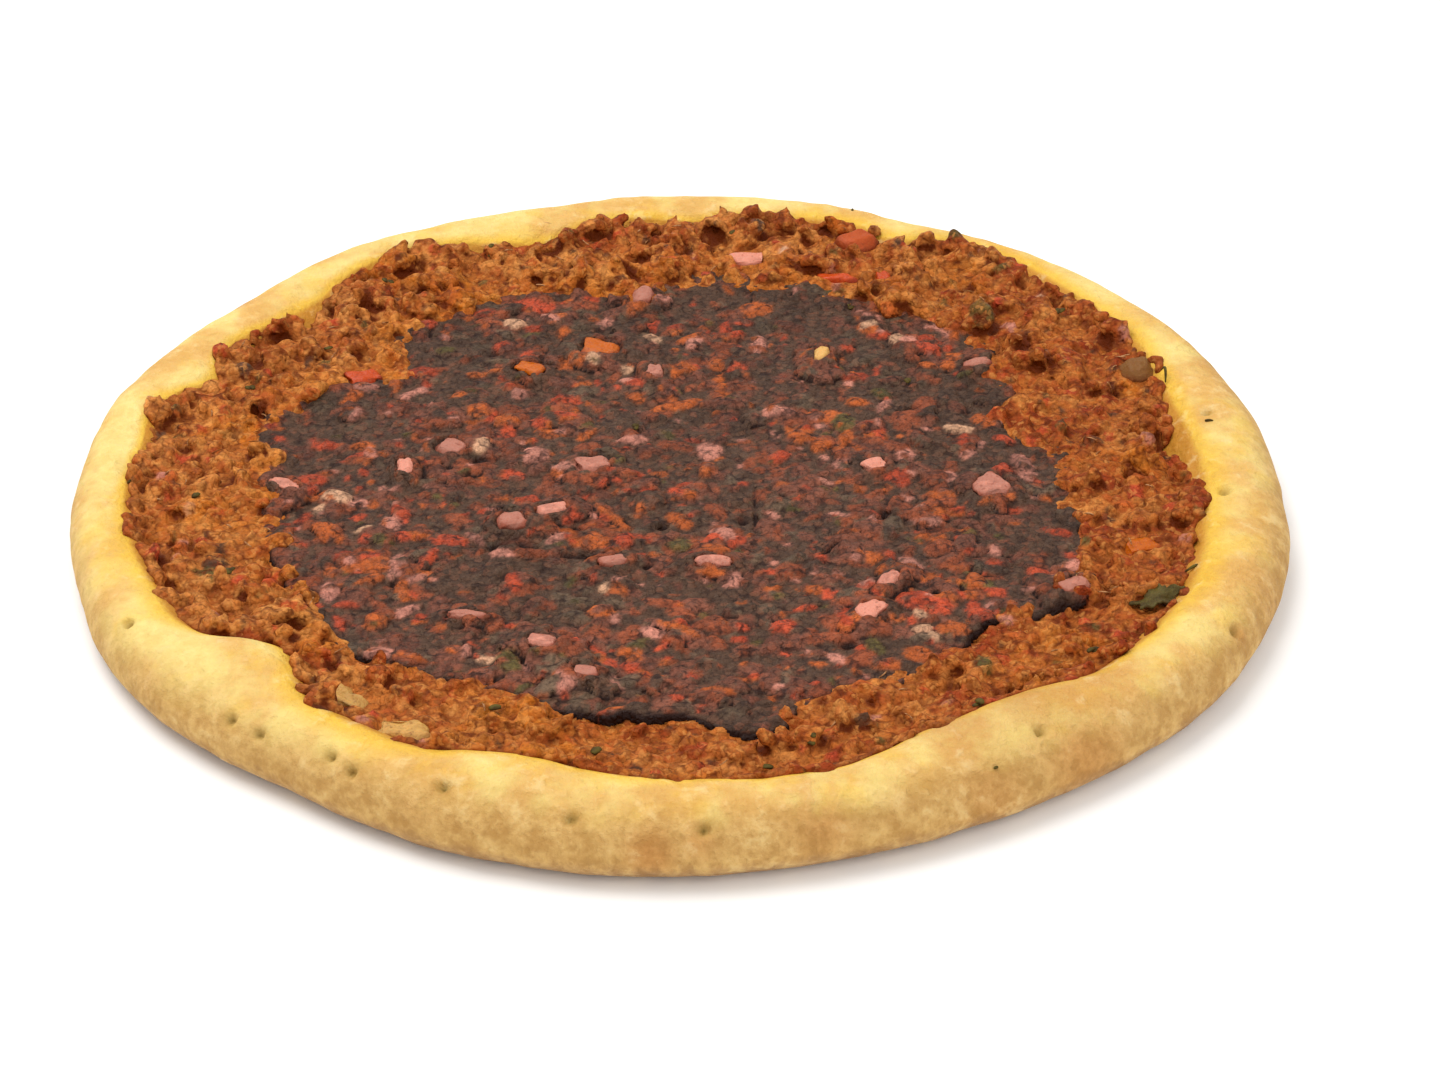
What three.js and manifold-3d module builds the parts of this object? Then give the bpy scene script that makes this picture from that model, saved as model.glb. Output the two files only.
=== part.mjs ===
// A round open meat fatayer, baked: a dough round with a puffed rim, spread up to the rim with crumbled
// mince whose middle is scorched to a thin dark sheet, and the bits of onion, pepper, tomato and parsley
// that stand out of the mince.
// Millimetres, +Z up. The underside lies on z = 0 and the round's centre is on the Z axis. Angles are in
// degrees, counted from +X towards +Y; -Y is the side that is nearest in the usual view.

import * as THREE from 'three'
import { mergeVertices } from 'three/addons/utils/BufferGeometryUtils.js'
import Module from 'manifold-3d'

const wasm = await Module()
wasm.setup()

// ---------------------------------------------------------------- driving dimensions

const GAP = 0.3 // left between pieces that touch
const FACET_TOLERANCE = 0.1 // faces flatter than this against each other become one

const BREAD_RADIUS = 99.6
const BREAD_STEPS = 72
const RIM_HEIGHT = 11.4 // crest of the rim
const FLOOR_HEIGHT = 4.8 // dough under the mince
const FOOT_INSET = 6.5 // the flat underside stops this far inside the outline
const BELLY_HEIGHT = 4.6 // where the side stands out furthest
const CREST_SHARE = 0.52 // place of the crest between the mince's edge and the outline
const SLOPE_RUN = 6 // the rim's inner slope runs this far in under the mince

const MINCE_RADIUS = 87
const MINCE_STEPS = 72
const MINCE_HEIGHT = 8.5 // between the crumbs, near the rim
const MINCE_FOOT = 2 // the uncut filling starts inside the dough
const SHEET_RADIUS = 69.5
const SHEET_HEIGHT = 9.6 // top of the scorched sheet
const STEP_RUN = 0.6 // the sheet's edge falls to the ring over this
const SHEET_RELIEF = 0.5
const RING_RELIEF = 0.3

const CRUMB_LARGEST = 4.3 // half length
const CRUMB_SMALLEST = 2.5
const CRUMB_COUNT = 150
const CRUMB_STAND_FRONT = 1.0 // how far a crumb's top stands over the mince round it
const CRUMB_STAND_BACK = 3.1

const HOLE_RADIUS = 0.9 // pricked into the rim
const HOLE_DEPTH = 2.2

// Where an outline leaves its circle: bells centred at an angle, so many degrees wide, pushed out in mm.
const BREAD_BELLS = [
  { at: 2, wide: 12, push: -1.1 },
  { at: 66, wide: 16, push: -0.8 },
  { at: 111, wide: 12, push: -1.3 },
  { at: 148, wide: 9, push: -1.3 },
  { at: 163, wide: 7, push: 0.9 },
  { at: 214, wide: 12, push: 1.0 },
  { at: 236, wide: 9, push: -1.4 },
  { at: 262, wide: 14, push: 0.8 },
  { at: 303, wide: 13, push: -1.0 },
  { at: 330, wide: 8, push: 0.7 },
]
const RIM_BELLS = [
  { at: 52, wide: 20, push: -1.0 },
  { at: 110, wide: 14, push: 0.6 },
  { at: 185, wide: 22, push: -0.8 },
  { at: 221, wide: 8, push: 1.0 },
  { at: 255, wide: 12, push: 0.5 },
  { at: 304, wide: 14, push: 0.9 },
]
const MINCE_BELLS = [
  { at: 8, wide: 20, push: -2.6 },
  { at: 28, wide: 5, push: 1.5 },
  { at: 52, wide: 18, push: 5.2 },
  { at: 66, wide: 3.2, push: -4.6 },
  { at: 72, wide: 4, push: 2.2 },
  { at: 91, wide: 4, push: -1.6 },
  { at: 98, wide: 4, push: 2.2 },
  { at: 108, wide: 8, push: -5.4 },
  { at: 128, wide: 9, push: 2.4 },
  { at: 141, wide: 6, push: -2.6 },
  { at: 153, wide: 4, push: 1.2 },
  { at: 161, wide: 3.4, push: -4.4 },
  { at: 167, wide: 5, push: 3.6 },
  { at: 188, wide: 18, push: 3.2 },
  { at: 212, wide: 5, push: 2.4 },
  { at: 221.5, wide: 4.6, push: -10.5 },
  { at: 245, wide: 5, push: 2.6 },
  { at: 254, wide: 6, push: -3.4 },
  { at: 282, wide: 12, push: 2 },
  { at: 297, wide: 8, push: -4.2 },
  { at: 308, wide: 4, push: -4.2 },
  { at: 350, wide: 8, push: -1.4 },
]
const SHEET_BELLS = [
  { at: 0, wide: 8, push: -4.5 },
  { at: 17, wide: 9, push: -12 },
  { at: 33, wide: 6, push: -5 },
  { at: 99, wide: 6.5, push: -9.5 },
  { at: 147, wide: 6, push: -11 },
  { at: 169, wide: 5, push: 4.5 },
  { at: 222, wide: 10, push: 4.5 },
  { at: 262, wide: 26, push: 2.6 },
  { at: 280, wide: 6, push: 3.2 },
  { at: 316, wide: 6, push: -3 },
  { at: 331, wide: 7, push: 4 },
  { at: 352, wide: 5, push: -3 },
]

// Pricks in the rim: angle and distance from the centre.
const HOLES = [
  { at: 9.8, from: 89 },
  { at: 209.4, from: 96.7 },
  { at: 227, from: 97 },
  { at: 230.4, from: 96.8 },
  { at: 238.2, from: 95.6 },
  { at: 240.8, from: 96.6 },
  { at: 249.6, from: 95.6 },
  { at: 261.2, from: 97.2 },
  { at: 272.4, from: 98 },
  { at: 304.8, from: 93.3 },
  { at: 330.8, from: 97.8 },
  { at: 354, from: 88.2 },
]

// Bits that stand out of the mince: plan place of the middle, size as length, width and height, turn about
// Z in degrees, and how far the top stands over the mince round it.
const ONIONS = [
  { at: [-14.4, 1.6], size: [6.6, 6.0, 2.8], turn: 15, proud: 0.9 },
  { at: [-26.9, -16.6], size: [5.6, 5.2, 3.2], turn: 10, proud: 1.3 },
  { at: [-20.6, -13.0], size: [6.0, 4.4, 3.0], turn: 22, proud: 1.1 },
  { at: [-38.1, 7.2], size: [6.0, 5.4, 2.6], turn: -30, proud: 0.8 },
  { at: [-45.2, 0.7], size: [3.4, 6.2, 2.8], turn: 8, proud: 1.1 },
  { at: [-64.4, -5.0], size: [6.4, 2.8, 2.6], turn: -35, proud: 0.9 },
  { at: [50.6, -5.4], size: [7.2, 7.4, 2.8], turn: 20, proud: 0.9 },
  { at: [31.6, 1.4], size: [4.6, 4.0, 2.4], turn: 40, proud: 0.7 },
  { at: [-7.3, 58.6], size: [4.2, 7.4, 3.2], turn: -12, proud: 1.2 },
  { at: [-21.0, -51.0], size: [5.6, 4.4, 2.8], turn: -25, proud: 1.1 },
  { at: [-14.1, -59.0], size: [5.2, 3.6, 2.6], turn: -15, proud: 0.9 },
  { at: [5.4, -27.8], size: [7.0, 3.6, 2.6], turn: 0, proud: 0.8 },
  { at: [61.5, -35.0], size: [6.2, 4.6, 2.8], turn: 25, proud: 0.9 },
  { at: [33.0, -33.4], size: [6.0, 3.2, 2.8], turn: 50, proud: 1.0 },
  { at: [29.6, -42.0], size: [6.0, 4.2, 2.8], turn: 55, proud: 1.0 },
  { at: [-32.7, -43.2], size: [7.2, 2.6, 2.4], turn: -6, proud: 0.7 },
  { at: [50.4, 35.0], size: [5.8, 3.8, 2.6], turn: 30, proud: 0.8 },
  { at: [11.2, 73.4], size: [6.8, 5.0, 3.4], turn: 10, proud: 1.8 },
  { at: [-4.9, 32.1], size: [3.8, 4.8, 2.4], turn: 0, proud: 0.7 },
  { at: [-10.4, -27.6], size: [5.4, 3.0, 2.4], turn: 12, proud: 0.7 },
]
const BROWNED_ONIONS = [
  { at: [-49.4, -64.6], size: [9.6, 6.2, 4.2], turn: -38, proud: 1.6 },
  { at: [-40.2, -74.2], size: [9.8, 6.6, 3.6], turn: -22, proud: 2.0 },
]
const ORANGE_PEPPERS = [
  { at: [-14.4, 40.4], size: [7.8, 6.6, 2.4], turn: -20, proud: 0.8 },
  { at: [-26.4, 33.0], size: [6.2, 4.6, 2.4], turn: -35, proud: 0.8 },
  { at: [73.2, -22.6], size: [6.8, 5.2, 2.8], turn: 20, proud: 0.9 },
]
const RED_PEPPERS = [
  { at: [-54.6, 31.2], size: [7.2, 5.6, 3.2], turn: 20, proud: 1.4 },
  { at: [27.0, 66.4], size: [8.2, 3.8, 3.2], turn: -8, proud: 1.5 },
  { at: [35.4, 66.6], size: [3.6, 4.8, 3.2], turn: 10, proud: 1.6 },
]
const TOMATOES = [{ at: [31.2, 78.6], size: [8.4, 7.6, 5.2], turn: 30, proud: 3.6 }]
const GREEN_PEPPERS = [{ at: [78.0, 32.8], size: [7.6, 7.0, 5.0], turn: 0, proud: 2.8 }]
const SEEDS = [{ at: [23.8, 38.0], size: [3.4, 5.6, 2.4], turn: -15, proud: 0.9 }]

const FINER_FROM = 7.5 // bits longer than this have more faces

const LEAF_LENGTH = 12
const LEAF_WIDTH = 6
const LEAF_THICKNESS = 0.7
const LEAF_LOBES = 5
const LEAF = { at: [74.2, -38.6], turn: 35, proud: 1.2 }

// ---------------------------------------------------------------- helpers

const radians = THREE.MathUtils.degToRad

/** A repeatable row of draws between 0 and 1. */
function draws(seed) {
  let state = seed
  return () => {
    state = (state + 0x6d2b79f5) | 0
    let mixed = Math.imul(state ^ (state >>> 15), 1 | state)
    mixed = (mixed + Math.imul(mixed ^ (mixed >>> 7), 61 | mixed)) ^ mixed
    return ((mixed ^ (mixed >>> 14)) >>> 0) / 4294967296
  }
}

/** What a list of bells adds at this angle. */
function bellsAt(bells, angle) {
  return bells.reduce((sum, { at, wide, push }) => {
    const off = ((angle - at + 540) % 360) - 180
    return sum + push * Math.exp(-((off / wide) ** 2))
  }, 0)
}

const breadEdge = (angle) => BREAD_RADIUS + bellsAt(BREAD_BELLS, angle)
const rimHeight = (angle) => RIM_HEIGHT + bellsAt(RIM_BELLS, angle)
const minceEdge = (angle) => MINCE_RADIUS + bellsAt(MINCE_BELLS, angle)
const sheetEdge = (angle) => SHEET_RADIUS + bellsAt(SHEET_BELLS, angle)

/** How far crumbs stand up at this angle: low in front, heaped at the back. */
function crumbStand(angle) {
  const back = 0.5 + 0.5 * Math.sin(radians(angle))
  return THREE.MathUtils.lerp(CRUMB_STAND_FRONT, CRUMB_STAND_BACK, back)
}

/** Distance from the centre and angle of a plan place. */
function polar([x, y]) {
  return { from: Math.hypot(x, y), angle: (THREE.MathUtils.radToDeg(Math.atan2(y, x)) + 360) % 360 }
}

/** A closed surface turned about Z, whose section changes with the angle. section(angle) gives pairs of
 * radius and height from the axis below, out and back to the axis above. */
function turned(section, steps) {
  const columns = Array.from({ length: steps }, (_, step) => section((step * 360) / steps))
  const profile = columns[0].map(([radius, height]) => new THREE.Vector2(radius, height))
  const geometry = new THREE.LatheGeometry(profile, steps)
  const position = geometry.attributes.position
  for (let step = 0; step <= steps; step++) {
    const turn = radians(((step % steps) * 360) / steps)
    columns[step % steps].forEach(([radius, height], place) => {
      const vertex = step * profile.length + place
      position.setXYZ(vertex, radius * Math.cos(turn), radius * Math.sin(turn), height)
    })
  }
  return geometry
}

/** A solid of the geometry, with shared vertices merged and triangles at a pole dropped. */
function solid(geometry) {
  const bare = geometry.clone()
  bare.deleteAttribute('normal')
  bare.deleteAttribute('uv')
  const merged = mergeVertices(bare, 1e-4)
  const corners = merged.index.array
  const kept = []
  for (let i = 0; i < corners.length; i += 3) {
    const [a, b, c] = [corners[i], corners[i + 1], corners[i + 2]]
    if (a !== b && b !== c && c !== a) kept.push(a, b, c)
  }
  const vertProperties = Float32Array.from(merged.attributes.position.array)
  return new wasm.Manifold(new wasm.Mesh({ numProp: 3, vertProperties, triVerts: Uint32Array.from(kept) }))
}

/** The largest connected piece of a solid, so without scraps and sealed hollows. */
function largest(whole) {
  return whole.decompose().reduce((best, piece) => (piece.volume() > best.volume() ? piece : best))
}

/** A named mesh of the solid, with its own material. */
function meshOf(name, body, material) {
  const { vertProperties, triVerts } = body.getMesh()
  const geometry = new THREE.BufferGeometry()
  geometry.setAttribute('position', new THREE.BufferAttribute(vertProperties, 3))
  geometry.setIndex(new THREE.BufferAttribute(triVerts, 1))
  geometry.computeVertexNormals()
  const mesh = new THREE.Mesh(geometry, material)
  mesh.name = name
  return mesh
}

const finish = (color, roughness) => () => new THREE.MeshStandardMaterial({ color, roughness, metalness: 0 })
const dough = finish(0xe9c377, 0.6)
const mincedMeat = finish(0x6e3a22, 0.65)
const pinkOnion = finish(0xb77f74, 0.45)
const tanOnion = finish(0xa8743a, 0.5)
const orangeFlesh = finish(0xb4551a, 0.4)
const redFlesh = finish(0xa5301a, 0.4)
const greenFlesh = finish(0x6b5a2a, 0.5)
const driedLeaf = finish(0x2f3a1c, 0.7)
const goldenSeed = finish(0xb98642, 0.5)

// ---------------------------------------------------------------- bread

/** Dough from the flat underside round the bellied side, over the rim's crest and down to the floor. */
function breadSection(angle) {
  const outer = breadEdge(angle)
  const filling = minceEdge(angle)
  const foot = outer - FOOT_INSET
  const crest = filling + CREST_SHARE * (outer - filling)
  const height = rimHeight(angle)
  const floor = filling - SLOPE_RUN
  const below = [0.35, 0.7, 1].map((share) => {
    const turn = share * 90
    const out = foot + FOOT_INSET * Math.sin(radians(turn))
    return [out, BELLY_HEIGHT * (1 - Math.cos(radians(turn)))]
  })
  const above = [0.3, 0.55, 0.78, 1].map((share) => {
    const turn = share * 90
    const out = crest + (outer - crest) * Math.cos(radians(turn))
    return [out, BELLY_HEIGHT + (height - BELLY_HEIGHT) * Math.sin(radians(turn))]
  })
  const slope = [0.28, 0.52, 0.76, 1].map((share) => {
    const fall = 0.5 + 0.5 * Math.cos(radians(180 * share))
    return [THREE.MathUtils.lerp(crest, floor, share), FLOOR_HEIGHT + (height - FLOOR_HEIGHT) * fall]
  })
  return [[0, 0], [foot, 0], ...below, ...above, ...slope, [0, FLOOR_HEIGHT]]
}

/** The height of the rim's top at a plan place. */
function rimTop(angle, from) {
  const crest = minceEdge(angle) + CREST_SHARE * (breadEdge(angle) - minceEdge(angle))
  const out = (from - crest) / (breadEdge(angle) - crest)
  if (out > 0) return BELLY_HEIGHT + (rimHeight(angle) - BELLY_HEIGHT) * Math.sqrt(1 - out ** 2)
  const share = (crest - from) / (crest - minceEdge(angle) + SLOPE_RUN)
  const fall = 0.5 + 0.5 * Math.cos(radians(180 * Math.min(share, 1)))
  return FLOOR_HEIGHT + (rimHeight(angle) - FLOOR_HEIGHT) * fall
}

/** A prick: a thin cone standing on its tip in the dough. */
function hole({ at, from }) {
  const cone = new THREE.ConeGeometry(HOLE_RADIUS, 2 * HOLE_DEPTH, 7)
  cone.rotateX(-Math.PI / 2)
  cone.translate(from * Math.cos(radians(at)), from * Math.sin(radians(at)), rimTop(at, from))
  return solid(cone)
}

function breadSolid() {
  return wasm.Manifold.difference([solid(turned(breadSection, BREAD_STEPS)), ...HOLES.map(hole)])
}

// ---------------------------------------------------------------- mince

/** The mince without its crumbs: a low ring with the scorched sheet's step and uneven top inside it. */
function minceCore() {
  const draw = draws(11)
  const uneven = (value, by) => value + by * (2 * draw() - 1)
  return turned((angle) => {
    const edge = minceEdge(angle)
    const sheet = sheetEdge(angle)
    const ring = [1, 0.6, 0.25].map((share) => [
      THREE.MathUtils.lerp(sheet, edge, share),
      uneven(MINCE_HEIGHT, RING_RELIEF),
    ])
    const scorched = [0.99, 0.82, 0.62, 0.4, 0.2].map((share) => [
      sheet * uneven(share, 0.025 * (share < 0.9)),
      uneven(SHEET_HEIGHT, SHEET_RELIEF * share),
    ])
    const step = [sheet + STEP_RUN, MINCE_HEIGHT]
    return [[0, MINCE_FOOT], [edge, MINCE_FOOT], ...ring, step, ...scorched, [0, SHEET_HEIGHT]]
  }, MINCE_STEPS)
}

/** One crumb, a lopsided lump with 20 faces, its top standing over the ring's surface. */
function crumb({ at, angle, half }, draw) {
  const lump = new THREE.IcosahedronGeometry(1, 0)
  const merged = mergeVertices(stripped(lump), 1e-4)
  const position = merged.attributes.position
  for (let i = 0; i < position.count; i++) {
    const swell = 0.84 + 0.32 * draw()
    position.setXYZ(i, position.getX(i) * swell, position.getY(i) * swell, position.getZ(i) * swell)
  }
  merged.rotateX(draw() * Math.PI)
  merged.rotateY(draw() * Math.PI)
  merged.scale(half, half * (0.7 + 0.25 * draw()), half * 0.8)
  merged.rotateZ(draw() * 2 * Math.PI)
  const top = MINCE_HEIGHT + crumbStand(angle) * (0.55 + 0.45 * draw())
  merged.translate(at[0], at[1], top - half * 0.75)
  return solid(merged)
}

/** The geometry with positions only, so that its corners can be merged. */
function stripped(geometry) {
  geometry.deleteAttribute('normal')
  geometry.deleteAttribute('uv')
  return geometry
}

/** Crumb places: the largest first, spread evenly over the ring, clear of the bits that stand out. */
function crumbPlaces(bits, draw) {
  const placed = []
  const enough = 60 * CRUMB_COUNT
  for (let tries = 0; placed.length < CRUMB_COUNT && tries < enough; tries++) {
    const half = THREE.MathUtils.lerp(CRUMB_LARGEST, CRUMB_SMALLEST, placed.length / CRUMB_COUNT)
    const angle = 360 * draw()
    const inner = sheetEdge(angle) + 0.4 * half
    const outer = minceEdge(angle) - 0.5 * half
    const from = Math.sqrt(THREE.MathUtils.lerp(inner ** 2, outer ** 2, draw()))
    const at = [from * Math.cos(radians(angle)), from * Math.sin(radians(angle))]
    const apart = (other, reach) => Math.hypot(at[0] - other[0], at[1] - other[1]) > reach
    const free = placed.every((other) => apart(other.at, 0.72 * (half + other.half)))
    if (free && bits.every((bit) => apart(bit.at, 0.8 * half + bit.reach))) placed.push({ at, angle, half })
  }
  return placed
}

function minceSolid(raised, bits) {
  const draw = draws(23)
  const crumbs = crumbPlaces(bits, draw).map((place) => crumb(place, draw))
  const heap = wasm.Manifold.union([solid(minceCore()), ...crumbs])
  const cut = wasm.Manifold.difference([heap, raised, ...bits.map((bit) => bit.pocket)])
  return largest(cut.simplify(FACET_TOLERANCE))
}

// ---------------------------------------------------------------- bits in the mince

/** The height of the mince's surface at a plan place, between its crumbs. */
function minceTop(at) {
  const { from, angle } = polar(at)
  return from < sheetEdge(angle) ? SHEET_HEIGHT : MINCE_HEIGHT
}

/** A diced bit: a faceted ball pressed towards a box, its corners uneven. grow makes it larger all round,
 * for the pocket that it lies in. */
function diced({ at, size, turn, proud }, boxy, seed, grow) {
  const draw = draws(seed)
  const faceted = Math.max(...size) > FINER_FROM
    ? new THREE.IcosahedronGeometry(1, 1)
    : new THREE.DodecahedronGeometry(1, 0)
  const ball = mergeVertices(stripped(faceted), 1e-4)
  const position = ball.attributes.position
  const press = (value) => Math.sign(value) * Math.abs(value) ** boxy
  for (let i = 0; i < position.count; i++) {
    const swell = 0.9 + 0.14 * draw()
    const [x, y, z] = [position.getX(i), position.getY(i), position.getZ(i)].map(press)
    position.setXYZ(i, x * swell, y * swell, z * swell)
  }
  ball.computeBoundingBox()
  const span = ball.boundingBox.getSize(new THREE.Vector3())
  const [length, width, height] = size.map((side) => side + 2 * grow)
  ball.scale(length / span.x, width / span.y, height / span.z)
  ball.rotateZ(radians(turn))
  ball.translate(at[0], at[1], minceTop(at) + proud - size[2] / 2)
  return solid(ball)
}

/** A dried leaf, lobed, thin and wavy, lying on the mince. */
function leaf({ at, turn, proud }, grow) {
  const geometry = turned((angle) => {
    const lobe = 0.82 + 0.18 * Math.cos(radians(LEAF_LOBES * angle))
    const reach = lobe * (1 + (2 * grow) / LEAF_WIDTH)
    const wave = 0.5 * Math.sin(radians(2 * angle))
    const half = LEAF_THICKNESS / 2 + grow
    return [[0, -half], [0.55 * reach, wave / 2 - half], [reach, wave - half / 2],
      [reach, wave + half / 2], [0.55 * reach, wave / 2 + half], [0, half]]
  }, 3 * LEAF_LOBES)
  geometry.scale(LEAF_LENGTH / 2, LEAF_WIDTH / 2, 1)
  geometry.rotateZ(radians(turn))
  geometry.translate(at[0], at[1], minceTop(at) + proud)
  return solid(geometry)
}

/** Like bits of one kind, numbered in their names, each clear of the raised dough and with the pocket in
 * the mince that it lies in. */
function dicedBits(name, places, boxy, material, raised) {
  return places.map((place, index) => {
    const seed = name.length * 100 + index
    const body = largest(diced(place, boxy, seed, 0).subtract(raised))
    return {
      at: place.at,
      reach: 0.55 * Math.max(place.size[0], place.size[1]),
      pocket: diced(place, boxy, seed, GAP),
      mesh: meshOf(`${name}_${index + 1}`, body, material()),
    }
  })
}

function leafBit(raised) {
  return {
    at: LEAF.at,
    reach: LEAF_WIDTH / 2,
    pocket: leaf(LEAF, GAP),
    mesh: meshOf('parsley_leaf', largest(leaf(LEAF, 0).subtract(raised)), driedLeaf()),
  }
}

// ---------------------------------------------------------------- the whole

const DICED = 0.62 // how far a bit is pressed towards a box, 1 being a ball
const ROUNDED = 0.88

const bread = breadSolid()
const raised = bread.translate([0, 0, GAP])
const bits = [
  ...dicedBits('onion', ONIONS, DICED, pinkOnion, raised),
  ...dicedBits('browned_onion', BROWNED_ONIONS, DICED, tanOnion, raised),
  ...dicedBits('orange_pepper', ORANGE_PEPPERS, DICED, orangeFlesh, raised),
  ...dicedBits('red_pepper', RED_PEPPERS, DICED, redFlesh, raised),
  ...dicedBits('tomato', TOMATOES, ROUNDED, redFlesh, raised),
  ...dicedBits('green_pepper', GREEN_PEPPERS, ROUNDED, greenFlesh, raised),
  ...dicedBits('seed', SEEDS, ROUNDED, goldenSeed, raised),
  leafBit(raised),
]

const fatayer = new THREE.Group()
fatayer.add(meshOf('bread', bread, dough()))
fatayer.add(meshOf('mince', minceSolid(raised, bits), mincedMeat()))
bits.forEach(({ mesh }) => fatayer.add(mesh))

export default fatayer
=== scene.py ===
"""A round open meat fatayer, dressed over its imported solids: baked dough, a ring of crumbled mince, the
scorched middle, and the cooked bits of onion, pepper, tomato and parsley that stand out of it.

Metres, +Z up, underside on z = 0. -Y is the side nearest to the camera. Sizes are written as numbers of MM.
"""

import math
from collections import namedtuple

import bpy
import numpy as np
from bpy.props import FloatProperty, FloatVectorProperty, IntProperty, PointerProperty
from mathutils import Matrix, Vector


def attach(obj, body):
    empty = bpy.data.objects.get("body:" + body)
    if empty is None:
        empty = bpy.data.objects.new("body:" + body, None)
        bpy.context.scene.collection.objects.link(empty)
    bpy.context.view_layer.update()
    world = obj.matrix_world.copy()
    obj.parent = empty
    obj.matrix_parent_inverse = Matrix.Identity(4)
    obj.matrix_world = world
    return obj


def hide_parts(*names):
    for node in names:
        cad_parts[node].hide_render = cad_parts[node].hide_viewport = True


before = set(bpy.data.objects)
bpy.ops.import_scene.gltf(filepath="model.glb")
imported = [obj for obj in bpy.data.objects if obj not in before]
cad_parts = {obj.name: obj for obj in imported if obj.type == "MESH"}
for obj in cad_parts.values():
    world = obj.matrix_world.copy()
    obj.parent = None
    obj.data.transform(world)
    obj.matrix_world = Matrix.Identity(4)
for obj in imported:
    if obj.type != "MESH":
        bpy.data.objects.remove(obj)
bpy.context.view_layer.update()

bl_info = {
    "name": "Meat fatayer",
    "version": (1, 0, 0),
    "blender": (4, 5, 0),
    "location": "3D View > Sidebar > Fatayer",
    "description": "Models an open meat fatayer over its solids, with its materials and a studio stage",
    "category": "Object",
}

MM = 0.001


def tone(red, green, blue):
    """A colour as seen on screen, 0 to 255 each, as the light that it stands for."""
    share = np.array([red, green, blue]) / 255
    light = np.where(share <= 0.04045, share / 12.92, ((share + 0.055) / 1.055) ** 2.4)
    return tuple(float(value) for value in light)


# ---------------------------------------------------------------- what a user may change


def colour(name, words, red, green, blue):
    return FloatVectorProperty(
        name=name, description=words, subtype="COLOR", size=3, min=0, max=1, default=tone(red, green, blue)
    )


def length(name, words, millimetres):
    return FloatProperty(name=name, description=words, unit="LENGTH", precision=5, default=millimetres * MM)


class DoughSettings(bpy.types.PropertyGroup):
    crest: colour("Crest", "Pale baked dough on the rim's top", 230, 202, 124)
    peach: colour("Peach", "Warmer patches of the rim's top", 216, 168, 94)
    side: colour("Side", "Toasted dough on the outer side", 198, 156, 92)
    # Partly toast, partly painted shade: the outer side is painted darker than the crest, most of all low
    # down and at the front right.
    toasted: colour("Toasted", "Browner patches of the crust", 184, 124, 62)
    oiled: colour("Oiled", "Dough soaked with oil beside the mince", 228, 180, 56)
    floured_and_shaded: colour("Floured", "Floury line at the foot of the side", 172, 136, 98)
    soaked: colour("Soaked", "Dough stained by the mince at its edge", 184, 116, 38)
    # Partly flour, partly painted shade: the side is painted greyer and darker towards the floor.
    dusted: colour("Dusted", "Paler floury patches", 232, 210, 150)
    prick_shade: colour("Pricked", "Bottom of a prick hole", 158, 128, 62)
    swell: length("Swell", "Depth of the soft lumps of the rim", 0.5)
    oil_reach: length("Oil reach", "How far oil has crept up the rim", 3)
    # Painted shade at the bottom of a prick hole.
    prick_radius: length("Prick radius", "Radius of a prick hole", 0.85)
    prick_depth: length("Prick depth", "Depth of a prick hole", 1.5)


class MinceSettings(bpy.types.PropertyGroup):
    lean: colour("Lean", "Browned meat", 174, 98, 39)
    pale: colour("Pale", "Lighter crumbs", 214, 142, 72)
    rusty: colour("Rusty", "Redder crumbs", 144, 60, 22)
    oily: colour("Oily", "Meat in orange oil", 192, 108, 16)
    # Painted shade in the gaps and hollows between the crumbs.
    hollow: colour("Hollow", "Gaps between the crumbs", 92, 33, 0)
    burnt: colour("Burnt", "Scorched crumbs in the ring", 78, 52, 36)
    voxel: length("Voxel", "Size to which the crumbs are fused", 0.53)
    clumps: IntProperty(name="Clumps", description="Largest lumps of the ring", default=430, min=1)
    granules: IntProperty(name="Granules", description="Middling lumps of the ring", default=2500, min=1)
    grains: IntProperty(name="Grains", description="Smallest lumps of the ring", default=5000, min=1)


class SheetSettings(bpy.types.PropertyGroup):
    char: colour("Char", "Scorched dry meat", 82, 58, 43)
    ash: colour("Ash", "Greyer grains of the sheet", 98, 78, 60)
    mauve: colour("Mauve", "Dark brown meat of the sheet", 112, 65, 48)
    rust: colour("Rust", "Reddish meat of the sheet", 136, 68, 40)
    red: colour("Red", "Chopped tomato and pepper in the sheet", 176, 68, 38)
    amber: colour("Amber", "Chopped orange pepper in the sheet", 172, 84, 34)
    cream: colour("Cream", "Paler onion in the sheet", 204, 156, 122)
    blush: colour("Blush", "Small onion in the sheet", 190, 124, 106)
    olive: colour("Olive", "Herb in the sheet", 88, 76, 38)
    # Painted shade in the sheet's pits, cracks and hollows between bits, and along its front lip.
    recess_shade: colour("Recess shade", "Pits and cracks", 36, 14, 6)
    cell: length("Cell", "Spacing of the sheet's surface", 0.42)
    chips: IntProperty(name="Chips", description="Larger chopped bits of the sheet", default=2100, min=1)
    shreds: IntProperty(name="Shreds", description="Finer bits of the sheet", default=3600, min=1)


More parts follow.
